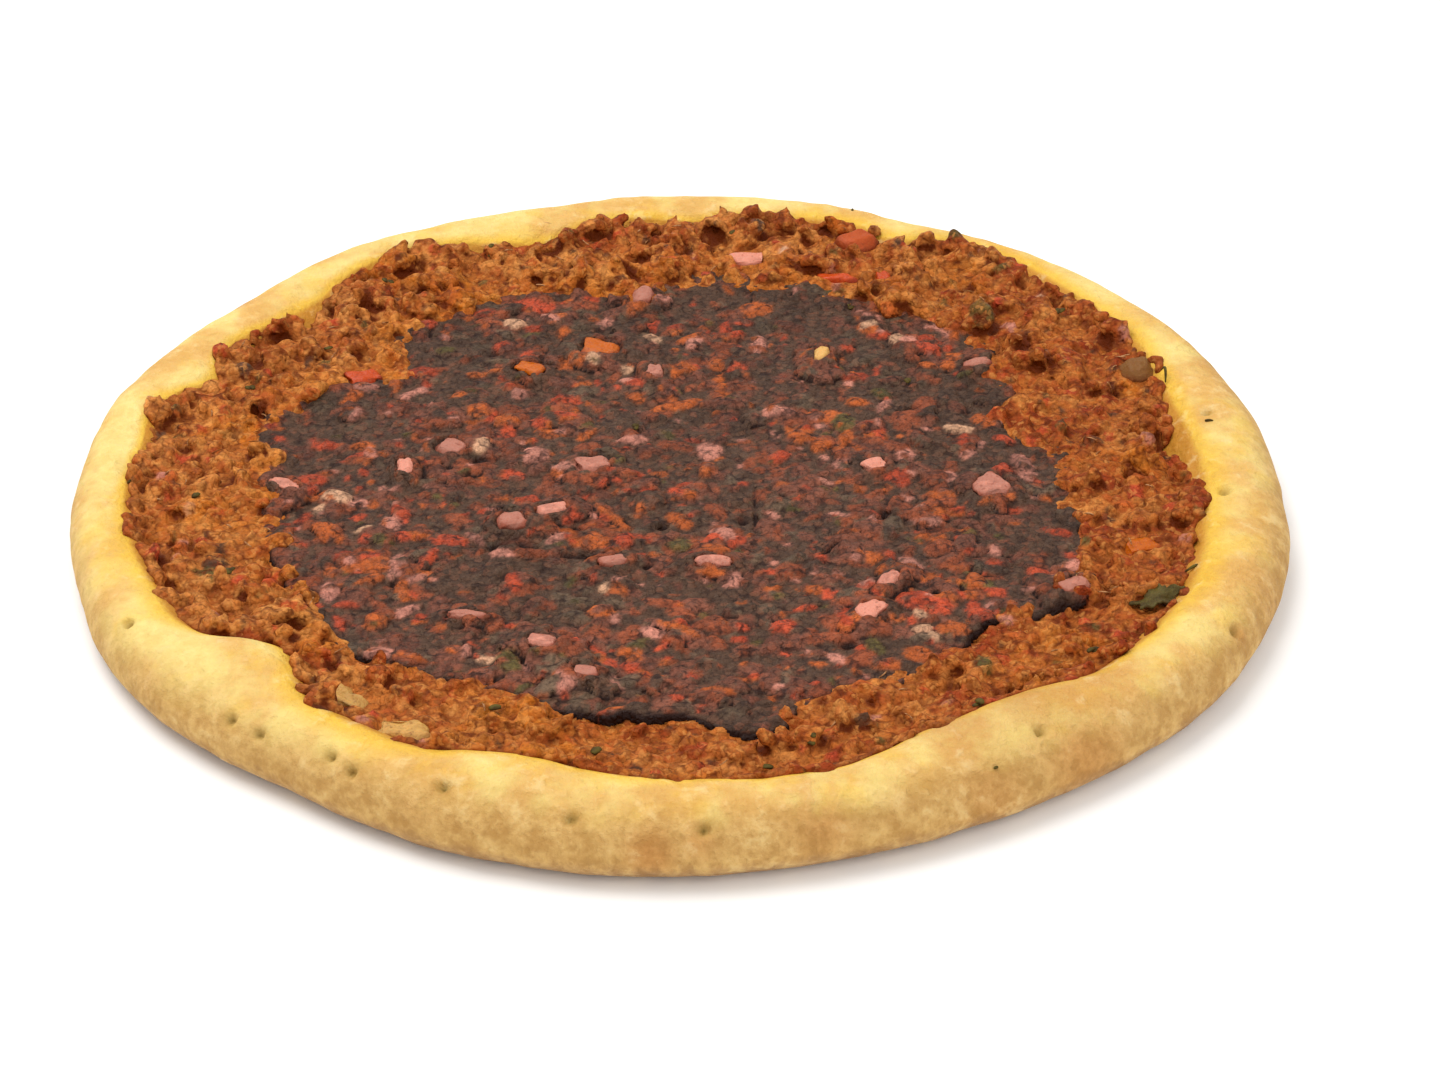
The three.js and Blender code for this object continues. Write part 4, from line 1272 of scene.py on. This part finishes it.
# Sizes of chips and of shreds: largest and smallest half length in mm, and thickness as a share of it.
CHIPS = (3.9, 1.5, 0.3)
SHREDS = (1.35, 0.6, 0.42)
TOP_SHREDS = (1.2, 0.5, 0.42)


def scorched_and_reddened(x, y):
    """How scorched and how reddened the sheet is at each place, from 0 to 1."""
    spots = in_space(x, y)
    veins = smooth(0.1, 0.5, lumps(spots, 7 * MM, 65) + 0.35 * lumps(spots, 3 * MM, 67))
    scorch = np.minimum(1, 1.25 * patches(x, y, SCORCHED) + 0.5 * veins)
    glow = 0.6 * patches(x, y, REDDENED) + 0.75 * smooth(0.1, 0.55, lumps(spots, 5 * MM, 66))
    return scorch, np.minimum(1, glow) * (1 - 0.7 * scorch)


def kinds_for(scorch, glow, picks):
    """The numbers of the kinds that picks from 0 to 1 give in places this scorched and this reddened."""
    plain, scorched, reddened = np.array(list(SHEET_KINDS.values())).T
    weights = plain + (scorched - plain) * scorch[:, None]
    weights = weights + (reddened - weights) * glow[:, None]
    passed = (picks[:, None] > np.cumsum(weights / weights.sum(1, keepdims=True), 1)).sum(1)
    return np.minimum(passed, len(SHEET_KINDS) - 1)


def scatter(settings, heap, draw, colours, count, largest, smallest, flat):
    """Drops flat bits from large to small, of the kinds that suit the places that they fall on."""
    kinds = [np.array(getattr(settings, kind)) for kind in SHEET_KINDS]
    turn, radius = draw.uniform(0, 2 * np.pi, count), SHEET_SIDE * np.sqrt(draw.uniform(size=count))
    x, y = radius * np.cos(turn), radius * np.sin(turn)
    long, narrow = np.linspace(largest, smallest, count) * MM, draw.uniform(0.35, 0.75, count)
    thick, sink = flat * draw.uniform(0.7, 1.2, count), draw.uniform(0.3, 0.95, count)
    scorch, glow = scorched_and_reddened(x, y)
    chosen = kinds_for(scorch, glow, draw.uniform(size=count))
    # Darker where scorched and at the left, paler at the front.
    dark = 0.22 * scorch - 0.16 * smooth(-25 * MM, -50 * MM, y) + 0.08 * smooth(-20 * MM, -50 * MM, x)
    for each in np.flatnonzero(radius < ragged_sheet(turn) + 1 * MM):
        half = long[each] * np.array([1, narrow[each], thick[each]])
        shade = kinds[chosen[each]] * draw.uniform(0.78, 1.22) * (1 - dark[each])
        fall(heap, colours, shade, x[each], y[each], half, draw.uniform(0, np.pi), sink[each])


def fall(heap, colours, shade, x, y, half, turn, sink):
    """Drops a bit of this shade, sunk by a share of its thickness."""
    heap.drop(len(colours), x, y, heap.z[heap.spot(x, y)] - sink * half[2], half, turn)
    colours.append(shade)


def sheet_bits():
    """The bits listed one by one and those strewn over the sheet, each with its kind."""
    for kind, bits in SHEET_BITS.items():
        for bit in bits:
            yield kind, bit
    strew = np.random.default_rng(75)
    for kind, many in STREWN_BITS.items():
        for turn, share in zip(strew.uniform(0, 2 * np.pi, many), np.sqrt(strew.uniform(size=many))):
            radius = STREWN_REACH * share * float(plan.sheet_edge(turn)) / MM
            long = strew.uniform(*STREWN_LENGTH)
            wide = long * strew.uniform(*STREWN_SLIMNESS)
            yield kind, (radius * math.cos(turn), radius * math.sin(turn), long, wide, strew.uniform(0, 180))


def sheet_lumps(settings, heap, draw):
    """Drops flat chips, then shreds with the larger bits among them. Gives each one's colour."""
    colours = []
    scatter(settings, heap, draw, colours, settings.chips, *CHIPS)
    scatter(settings, heap, draw, colours, 2 * settings.shreds // 3, *SHREDS)
    for kind, (x, y, long, wide, turned) in sheet_bits():
        half = np.array([long, wide, min(0.7, 0.25 + 0.3 * wide)]) * MM
        shade = np.array(getattr(settings, kind)) * draw.uniform(0.88, 1.15)
        fall(heap, colours, shade, x * MM, y * MM, half, math.radians(turned), 0.4)
    scatter(settings, heap, draw, colours, settings.shreds // 3, *TOP_SHREDS)
    return colours


def pressed(height, start):
    """Flattens what stands over the sheet's level."""
    over = height - start
    return start + np.where(over > PRESSED_AT, PRESSED_AT + PRESSED_SHARE * (over - PRESSED_AT), over)


def sheet_heap(settings, draw):
    """The sheet's heights, the colours of what lies on it, and its cracks."""
    heap = Heap(SHEET_RASTER, settings.cell, sheet_start)
    start = heap.z.copy()
    colours = sheet_lumps(settings, heap, draw)
    heap.z = pressed(heap.z, start)
    split = heap.cracked(CRACKS)
    heap.z -= CRACK_DEPTH * split
    for lie in LIES.values():
        off = lie.reach(heap.warp_x, heap.warp_y)
        heap.z += (np.minimum(heap.z, lie.top - 1.4 * MM) - heap.z) * smooth(1.02, 0.85, off)
    for lie in LIES.values():
        for place, half, swing in tucked(lie, draw, 5, 1.5 * MM):
            shade = np.array(draw.choice([settings.char, settings.mauve, settings.rust]))
            heap.drop(len(colours), *place, half, swing)
            colours.append(shade * draw.uniform(0.85, 1.2))
    return heap, np.array(colours), split


def sheet_blank(cell):
    """A flat grid, cut to the sheet's ragged outline."""
    steps = int(round(2 * SHEET_SIDE / cell))
    deselect()
    bpy.ops.mesh.primitive_grid_add(x_subdivisions=steps, y_subdivisions=steps, size=2 * SHEET_SIDE)
    piece = named("scorched_middle")
    radius, turn = polar(corners_of(piece))
    deselect_mesh(piece)
    piece.data.vertices.foreach_set("select", radius > ragged_sheet(turn))
    bpy.ops.object.mode_set(mode="EDIT")
    bpy.ops.mesh.delete(type="VERT")
    bpy.ops.object.mode_set(mode="OBJECT")
    return piece


def model_sheet(settings):
    """The scorched sheet: its raster's heights on a fine grid, closed below."""
    heap, colours, split = sheet_heap(settings, np.random.default_rng(71))
    piece = sheet_blank(settings.cell)
    corners = corners_of(piece)
    radius, turn = polar(corners)
    inside = ragged_sheet(turn) - radius
    fine = 0.14 * lumps(corners, 1.1 * MM, 72) + 0.26 * (grains(corners, 1.5 * MM, 73) - 0.45)
    lip = 0.7 * MM * (1 - smooth(0, 1.4 * MM, inside))
    spot = heap.spot(corners[:, 0], corners[:, 1])
    height = heap.z[spot] + fine * MM - lip
    move_corners(piece, np.stack([corners[:, 0], corners[:, 1], height], axis=1))
    front = smooth(-0.1, -0.6, np.sin(turn))
    charred = smooth(-0.5, 0.3, lumps(corners, 6 * MM, 74))
    rim = smooth(2.2 * MM, 0.4 * MM, inside) * (0.3 + 0.4 * charred)
    shade = heap.shades(colours, settings.char, 1)[spot]
    keep_colour(piece, "meat", shade + (np.array(settings.char) * 0.7 - shade) * rim[:, None])
    # Painted shade: corners below their neighbours and the cracks are painted darker, and at the front a
    # painted shadow runs along the sheet's lip, in patches.
    deep = np.clip((blurred(heap.z, 2)[spot] - 0.02 * MM - height) / (0.45 * MM), 0, 1)
    deep = np.maximum(deep, 0.5 * front * charred * smooth(1.0 * MM, 0.2 * MM, inside))
    keep_value(piece, "hollow", np.maximum(deep, split[spot]))
    return close_below(piece, SHEET_FOOT)


def deselect_mesh(piece):
    for part in (piece.data.vertices, piece.data.edges, piece.data.polygons):
        part.foreach_set("select", np.zeros(len(part), bool))


def close_below(piece, foot):
    """Draws the open border straight down to the foot and closes it there."""
    only(piece)
    bpy.ops.object.mode_set(mode="EDIT")
    bpy.ops.mesh.select_mode(type="EDGE")
    bpy.ops.mesh.select_all(action="DESELECT")
    bpy.ops.mesh.select_non_manifold(
        extend=False, use_wire=False, use_multi_face=False, use_non_contiguous=False, use_verts=False
    )
    bpy.ops.mesh.extrude_edges_move()
    bpy.ops.object.mode_set(mode="OBJECT")
    chosen = np.zeros(len(piece.data.vertices), bool)
    piece.data.vertices.foreach_get("select", chosen)
    corners = corners_of(piece)
    corners[chosen, 2] = foot
    move_corners(piece, corners)
    bpy.ops.object.mode_set(mode="EDIT")
    bpy.ops.mesh.edge_face_add()
    bpy.ops.mesh.select_all(action="SELECT")
    face_outwards()
    bpy.ops.object.mode_set(mode="OBJECT")
    return piece


# ---------------------------------------------------------------- bits


def dice(lie, rounding, uneven, seed):
    """A cooked bit where its solid lies: a lopsided block, bevelled, rounded and made uneven."""
    draw = np.random.default_rng(seed)
    deselect()
    bpy.ops.mesh.primitive_cube_add(size=2)
    piece = named("bit")
    block = corners_of(piece)
    rounding = min(0.95, rounding * draw.uniform(0.6, 1.5))
    move_corners(piece, block * (1 - (1 - rounding) * draw.uniform(0, 0.9, block.shape) * (1, 1, 0.5)))
    in_edit_mode(piece, lambda: bpy.ops.mesh.bevel(offset=0.13, segments=2, affect="EDGES"))
    modify(piece, "SUBSURF", levels=2, render_levels=2)
    modify(piece, "CAST", cast_type="SPHERE", factor=rounding)
    corners, normals = corners_of(piece), normals_of(piece)
    rise = uneven * (0.6 * lumps(corners, 1.1, seed) + 0.5 * lumps(corners, 0.45, seed + 1))
    corners += normals * rise[:, None]
    low, high = corners.min(axis=0), corners.max(axis=0)
    corners = (2 * corners - low - high) / (high - low)
    out = np.hypot(corners[:, 0], corners[:, 1])
    layers = np.cos(9 * corners[:, 1] + 2 * lumps(corners, 1.2, seed + 2))
    corners[:, 2] -= (0.2 * out**2 + 0.07 * layers) * (corners[:, 2] > 0)
    browned = 0.8 * smooth(0.55, 1.1, out) + 0.6 * smooth(0.4, -0.4, corners[:, 2])
    keep_value(piece, "edge", np.clip(browned, 0, 1))
    keep_value(piece, "own", np.full(len(corners), draw.uniform()))
    move_corners(piece, corners * lie.half)
    piece.location = lie.middle
    piece.rotation_euler = (0, 0, lie.turn)
    return named("bit")


def model_bits(kind, rounding, uneven):
    """The bits of one kind as one piece, each from a seed of its own."""
    nodes = BIT_NODES[kind]
    return joined(
        kind + "_bits",
        [dice(LIES[node], rounding, uneven, 200 + 7 * index) for index, node in enumerate(nodes)],
    )


LEAF_LOBES = 5
LEAF_TEETH = 17
LEAF_THICKNESS = 0.35 * MM


def model_leaf():
    """A dried leaf: lobed, cupped, with a rib along its middle."""
    lie = LIES[LEAF_NODE]
    deselect()
    bpy.ops.mesh.primitive_circle_add(vertices=90, radius=1, fill_type="TRIFAN")
    disc = bpy.context.object
    modify(disc, "SUBSURF", subdivision_type="SIMPLE", levels=3, render_levels=3)
    flat = corners_of(disc)
    radius, turn = polar(flat)
    lobe = 0.8 + 0.2 * np.cos(LEAF_LOBES * turn) + 0.05 * np.cos(LEAF_TEETH * turn)
    x, y = flat[:, 0] * lobe, flat[:, 1] * lobe
    rib = 0.25 * MM * np.exp(-((y / 0.12) ** 2))
    curl = 0.55 * MM * np.sin(2 * turn) * radius + 0.35 * MM * np.sin(9 * x + 2) * radius
    move_corners(disc, np.stack([x * lie.half[0], y * lie.half[1], rib + curl], axis=1))
    disc.location = lie.middle + np.array([0, 0, 0.1 * MM])
    disc.rotation_euler = (0, 0, lie.turn)
    piece = named("parsley")
    modify(piece, "SOLIDIFY", thickness=LEAF_THICKNESS, offset=0)
    keep_value(piece, "edge", lumps(corners_of(piece), 2.2 * MM, 91) * 0.5 + 0.5)
    keep_value(piece, "own", np.full(len(piece.data.vertices), 0.4))
    return piece


# Parsley flecks: plan place in mm, length in mm and turn in degrees.
FLECKS = [
    (-27.8, -68.6, 2.6, 20), (-12.6, -79.6, 2.4, 70), (12.9, -82.2, 2.2, 10), (-79, -9, 2.0, 30),
    (-73, 27, 1.8, 120), (66, 52, 2.4, 60), (-62, 40, 1.6, 0), (45, -69, 2.0, 150), (30, 56, 1.8, 40),
    (-70, -34, 2.2, 85), (38.6, 30, 1.8, 100), (-8, 14, 1.6, 60), (63, -54, 2.2, 35), (8, 80, 2.2, 10),
    (-35, 74, 2.0, 45), (-52, 62, 2.0, 80), (20, -77, 1.8, 140),
]  # fmt: skip


# Single crumbs and stalks on the rim: plan place and length in mm, turn in degrees and climb.
STALKS = [
    (82.0, 26.5, 3.6, 80, 1.4), (79.3, -31.2, 3.4, 15, 0.5), (18.3, 98.4, 0.9, 0, 0.3),
    (30.6, 89.0, 0.8, 60, 0.3), (-90.1, -5.1, 1.0, 30, 0.2), (46, -84, 0.8, 10, 0.2),
    (88.4, 12.0, 1.6, 160, 0.1),
]  # fmt: skip
SCRAPS = 2  # scraps of leaf in a fleck
STALK_RADIUS = 0.26 * MM
FIBRES = 50
FIBRE_BAND = (66, 86)  # the fibres lie this far from the centre, in mm
ROD_RINGS = 7


class Skin:
    """The upper surface of dressed pieces, for laying small things on it."""

    CELL = 1.0 * MM
    BARE = 9 * MM  # height where no corner lies in a cell

    def __init__(self, pieces):
        self.tops = {}
        for piece in pieces:
            corners = corners_of(piece)
            keys = np.rint(corners[:, :2] / self.CELL).astype(int)
            for key, height in zip(map(tuple, keys), corners[:, 2]):
                if height > self.tops.get(key, 0):
                    self.tops[key] = height

    def height(self, x, y):
        key = (int(round(x / self.CELL)), int(round(y / self.CELL)))
        return self.tops.get(key, self.BARE)


def rod_corners(start, heading, long, thick, bend, rise, sides, flat):
    """Corners of a thin bent rod, ring after ring, tapered to its ends."""
    corners, spot, way = [], np.array(start), heading
    for ring in range(ROD_RINGS):
        share = ring / (ROD_RINGS - 1)
        across = np.array([-math.sin(way), math.cos(way), 0])
        taper = thick * (0.35 + 0.65 * math.sin(math.pi * (0.12 + 0.76 * share)))
        for side in range(sides):
            swing = 2 * math.pi * side / sides
            out = across * math.cos(swing) + np.array([0, 0, flat * math.sin(swing)])
            corners.append(spot + taper * out)
        way += bend / ROD_RINGS
        climb = rise * math.cos(math.pi * share)
        spot = spot + np.array([math.cos(way), math.sin(way), climb]) * long / ROD_RINGS
    return corners


def rod_faces(base, sides):
    """Faces of a rod whose corners start at base: its walls and then its ends."""
    last = base + (ROD_RINGS - 1) * sides
    faces = []
    for ring in range(base, last, sides):
        for side in range(sides):
            a, b = ring + side, ring + (side + 1) % sides
            faces.append((a, b, b + sides, a + sides))
    faces.append(tuple(base + side for side in reversed(range(sides))))
    faces.append(tuple(last + side for side in range(sides)))
    return faces


def strands(name, rods, sides=5, flat=1.0):
    """One mesh of many rods. A rod is its start, heading, length, radius, bend and rise."""
    corners, faces = [], []
    for rod in rods:
        faces += rod_faces(len(corners), sides)
        corners += rod_corners(*rod, sides, flat)
    return in_edit_mode(new_piece(name, np.array(corners).tolist(), faces), face_outwards)


def model_flecks(skin, draw):
    """Flat scraps of leaf in small groups, and the stalks and single crumbs on the rim."""
    scraps = []
    for x, y, long, turned in FLECKS:
        for _ in range(SCRAPS):
            spot_x, spot_y = x * MM + draw.normal() * 0.4 * MM, y * MM + draw.normal() * 0.4 * MM
            start = (spot_x, spot_y, skin.height(spot_x, spot_y) - 0.05 * MM)
            heading = math.radians(turned + draw.uniform(-40, 40))
            wide = draw.uniform(0.45, 0.75) * MM
            scraps.append((start, heading, 0.8 * long * MM, wide, draw.uniform(-0.6, 0.6), 0.2))
    stalks = []
    for x, y, long, turned, climb in STALKS:
        start = (x * MM, y * MM, skin.height(x * MM, y * MM))
        stalks.append((start, math.radians(turned), long * MM, STALK_RADIUS, 0.6, climb))
    leaves = strands("flat_scraps", scraps, flat=0.35)
    return joined("parsley_flecks", [leaves, strands("stalks", stalks)])


def model_fibres(skin, draw):
    """Thin strands of meat, strewn over the ring."""
    fibres = []
    for _ in range(FIBRES):
        turn, radius = draw.uniform(0, 2 * np.pi), draw.uniform(*FIBRE_BAND) * MM
        x, y = radius * math.cos(turn), radius * math.sin(turn)
        start = (x, y, skin.height(x, y))
        long, thick = draw.uniform(1.4, 2.8) * MM, draw.uniform(0.1, 0.16) * MM
        fibres.append((start, draw.uniform(0, 2 * np.pi), long, thick, draw.uniform(-1, 1), 0.2))
    return strands("meat_strands", fibres, sides=4)


# ---------------------------------------------------------------- operators


class FATAYER_OT_bread(bpy.types.Operator):
    """Model the baked dough round with its puffed rim, pricks and blisters"""

    bl_idname = "fatayer.bread"
    bl_label = "Bread round"

    def execute(self, context):
        settings = context.scene.fatayer_dough
        finish(model_bread(settings), paint_dough(settings), "crust", "bread")
        return {"FINISHED"}


class FATAYER_OT_mince_ring(bpy.types.Operator):
    """Heap the crumbled mince round the scorched middle"""

    bl_idname = "fatayer.mince_ring"
    bl_label = "Mince ring"

    def execute(self, context):
        settings = context.scene.fatayer_mince
        piece = model_ring(settings, context.scene.fatayer_sheet)
        paint = paint_meat(
            "crumbled_mince", settings.hollow, settings.rusty, settings.pale, 0.5, 1.5 * MM, 0.09
        )
        finish(piece, paint, "mince", "mince")
        return {"FINISHED"}


class FATAYER_OT_scorched_middle(bpy.types.Operator):
    """Press the middle of the mince into its dark scorched sheet"""

    bl_idname = "fatayer.scorched_middle"
    bl_label = "Scorched middle"

    def execute(self, context):
        settings = context.scene.fatayer_sheet
        piece = model_sheet(settings)
        paint = paint_meat("scorched_mince", settings.recess_shade, settings.rust, settings.ash, 0.25, 1.2 * MM, 0.16)
        finish(piece, paint, "mince", "mince")
        return {"FINISHED"}


class BitsOperator:
    """Bits of one kind, each where its solid lies."""

    rounding, uneven, roughness, lighter = 0.34, 0.36, 0.5, 1.2

    def execute(self, context):
        kind = self.kind
        colours = context.scene.fatayer_bits
        flesh, edge = getattr(colours, self.flesh), getattr(colours, self.flesh + "_edge")
        piece = model_bits(kind, self.rounding, self.uneven)
        paint = paint_bit("cooked_" + kind, flesh, edge, self.roughness, self.lighter)
        finish(piece, paint, kind, *BIT_NODES[kind])
        return {"FINISHED"}


class FATAYER_OT_onions(BitsOperator, bpy.types.Operator):
    """Model the pink diced onion"""

    bl_idname = "fatayer.onions"
    bl_label = "Diced onion"
    kind, flesh, lighter = "onion", "onion", 1.6


class FATAYER_OT_browned_onions(BitsOperator, bpy.types.Operator):
    """Model the fried onion at the rim"""

    bl_idname = "fatayer.browned_onions"
    bl_label = "Browned onion"
    kind, flesh, uneven, lighter = "browned_onion", "browned", 0.7, 1.45


class FATAYER_OT_orange_peppers(BitsOperator, bpy.types.Operator):
    """Model the orange pepper"""

    bl_idname = "fatayer.orange_peppers"
    bl_label = "Orange pepper"
    kind, flesh, roughness = "orange_pepper", "orange", 0.28


class FATAYER_OT_red_peppers(BitsOperator, bpy.types.Operator):
    """Model the red pepper"""

    bl_idname = "fatayer.red_peppers"
    bl_label = "Red pepper"
    kind, flesh, roughness = "red_pepper", "red", 0.28


class FATAYER_OT_tomato(BitsOperator, bpy.types.Operator):
    """Model the lump of cooked tomato"""

    bl_idname = "fatayer.tomato"
    bl_label = "Tomato"
    kind, flesh, rounding, uneven = "tomato", "tomato", 0.75, 0.34


class FATAYER_OT_green_pepper(BitsOperator, bpy.types.Operator):
    """Model the fried green pepper"""

    bl_idname = "fatayer.green_pepper"
    bl_label = "Green pepper"
    kind, flesh, rounding, uneven = "green_pepper", "green", 0.8, 0.3


class FATAYER_OT_seed(BitsOperator, bpy.types.Operator):
    """Model the toasted seed"""

    bl_idname = "fatayer.seed"
    bl_label = "Seed"
    kind, flesh, rounding, uneven = "seed", "seed", 0.9, 0.12


class FATAYER_OT_leaf(bpy.types.Operator):
    """Model the dried parsley leaf"""

    bl_idname = "fatayer.leaf"
    bl_label = "Parsley leaf"

    def execute(self, context):
        colours = context.scene.fatayer_bits
        paint = paint_bit("dried_parsley", colours.leaf, colours.leaf_edge, 0.5, streak=1.2 * MM)
        finish(model_leaf(), paint, "parsley", LEAF_NODE)
        return {"FINISHED"}


class FATAYER_OT_flecks(bpy.types.Operator):
    """Lay flecks of parsley and thin strands of meat on the mince"""

    bl_idname = "fatayer.flecks"
    bl_label = "Flecks and strands"

    def execute(self, context):
        colours = context.scene.fatayer_bits
        skin = Skin([bpy.data.objects[name] for name in ("bread_round", "mince_ring", "scorched_middle")])
        draw = np.random.default_rng(97)
        fleck = paint_strand("parsley_fleck", colours.leaf, colours.leaf_edge)
        finish(model_flecks(skin, draw), fleck, "parsley")
        fibre = paint_strand("meat_strand", colours.fibre, colours.browned_edge)
        finish(model_fibres(skin, draw), fibre, "mince")
        return {"FINISHED"}


AIM = Vector((6.35 * MM, -14.6 * MM, 5 * MM))  # the point that the camera looks at
SENSOR = 36  # width of the camera's sensor in mm
FLOOR_SIDE = 8
SKY = 0.75  # strength of the white light from all round
# The lamps: place and side of their square in metres, and power in watts.
LAMPS = {"key": ((-0.55, 0.35, 1.3), 1.1, 15), "fill": ((0.7, -1.0, 0.9), 1.4, 7)}


def add_camera(settings):
    """The camera on its tilted line of sight, level from left to right."""
    tilt = settings.elevation
    back = Vector((0, -math.cos(tilt), math.sin(tilt)))
    bpy.ops.object.camera_add(location=AIM + back * settings.distance, rotation=(math.pi / 2 - tilt, 0, 0))
    camera = bpy.context.object
    camera.data.lens = settings.focal
    camera.data.sensor_width = SENSOR
    camera.data.clip_start = 0.01
    return camera


def add_lamp(name, place, side, power):
    """A square lamp that shines on the round."""
    bpy.ops.object.light_add(type="AREA", location=place)
    lamp = bpy.context.object
    lamp.name = lamp.data.name = name
    lamp.data.size = side
    lamp.data.energy = power
    lamp.rotation_euler = (-Vector(place)).to_track_quat("-Z", "Y").to_euler()


class FATAYER_OT_stage(bpy.types.Operator):
    """Set the pale floor, the soft lights and the camera"""

    bl_idname = "fatayer.stage"
    bl_label = "Studio stage"

    def execute(self, context):
        settings = context.scene.fatayer_stage
        deselect()
        bpy.ops.mesh.primitive_plane_add(size=FLOOR_SIDE)
        floor = named("studio_floor")
        floor.data.materials.append(
            Paint("studio_floor").surface(Base_Color=settings.floor, Roughness=0.9)
        )
        context.scene.camera = add_camera(settings)
        for name, lamp in LAMPS.items():
            add_lamp(name, *lamp)
        world = bpy.data.worlds.new("studio")
        world.use_nodes = True
        light = world.node_tree.nodes["Background"].inputs
        light["Color"].default_value = (1, 1, 1, 1)
        light["Strength"].default_value = SKY
        context.scene.world = world
        context.scene.view_settings.view_transform = "Standard"
        return {"FINISHED"}


class FATAYER_PT_panel(bpy.types.Panel):
    bl_idname = "FATAYER_PT_panel"
    bl_label = "Meat fatayer"
    bl_space_type = "VIEW_3D"
    bl_region_type = "UI"
    bl_category = "Fatayer"

    def draw(self, context):
        for operator in OPERATORS:
            self.layout.operator(operator.bl_idname)
        for name in SETTINGS:
            settings = getattr(context.scene, name)
            box = self.layout.box()
            for key in settings.__annotations__:
                box.prop(settings, key)


SETTINGS = {
    "fatayer_dough": DoughSettings,
    "fatayer_mince": MinceSettings,
    "fatayer_sheet": SheetSettings,
    "fatayer_bits": BitSettings,
    "fatayer_stage": StageSettings,
}
OPERATORS = [
    FATAYER_OT_bread,
    FATAYER_OT_mince_ring,
    FATAYER_OT_scorched_middle,
    FATAYER_OT_onions,
    FATAYER_OT_browned_onions,
    FATAYER_OT_orange_peppers,
    FATAYER_OT_red_peppers,
    FATAYER_OT_tomato,
    FATAYER_OT_green_pepper,
    FATAYER_OT_seed,
    FATAYER_OT_leaf,
    FATAYER_OT_flecks,
    FATAYER_OT_stage,
]


def register():
    for each in (*SETTINGS.values(), *OPERATORS, FATAYER_PT_panel):
        bpy.utils.register_class(each)
    for name, group in SETTINGS.items():
        setattr(bpy.types.Scene, name, PointerProperty(type=group))


def unregister():
    for name in SETTINGS:
        delattr(bpy.types.Scene, name)
    for each in reversed((*SETTINGS.values(), *OPERATORS, FATAYER_PT_panel)):
        bpy.utils.unregister_class(each)


def main():
    register()
    for operator in OPERATORS:
        group, name = operator.bl_idname.split(".")
        getattr(getattr(bpy.ops, group), name)()


if __name__ == "__main__":
    main()
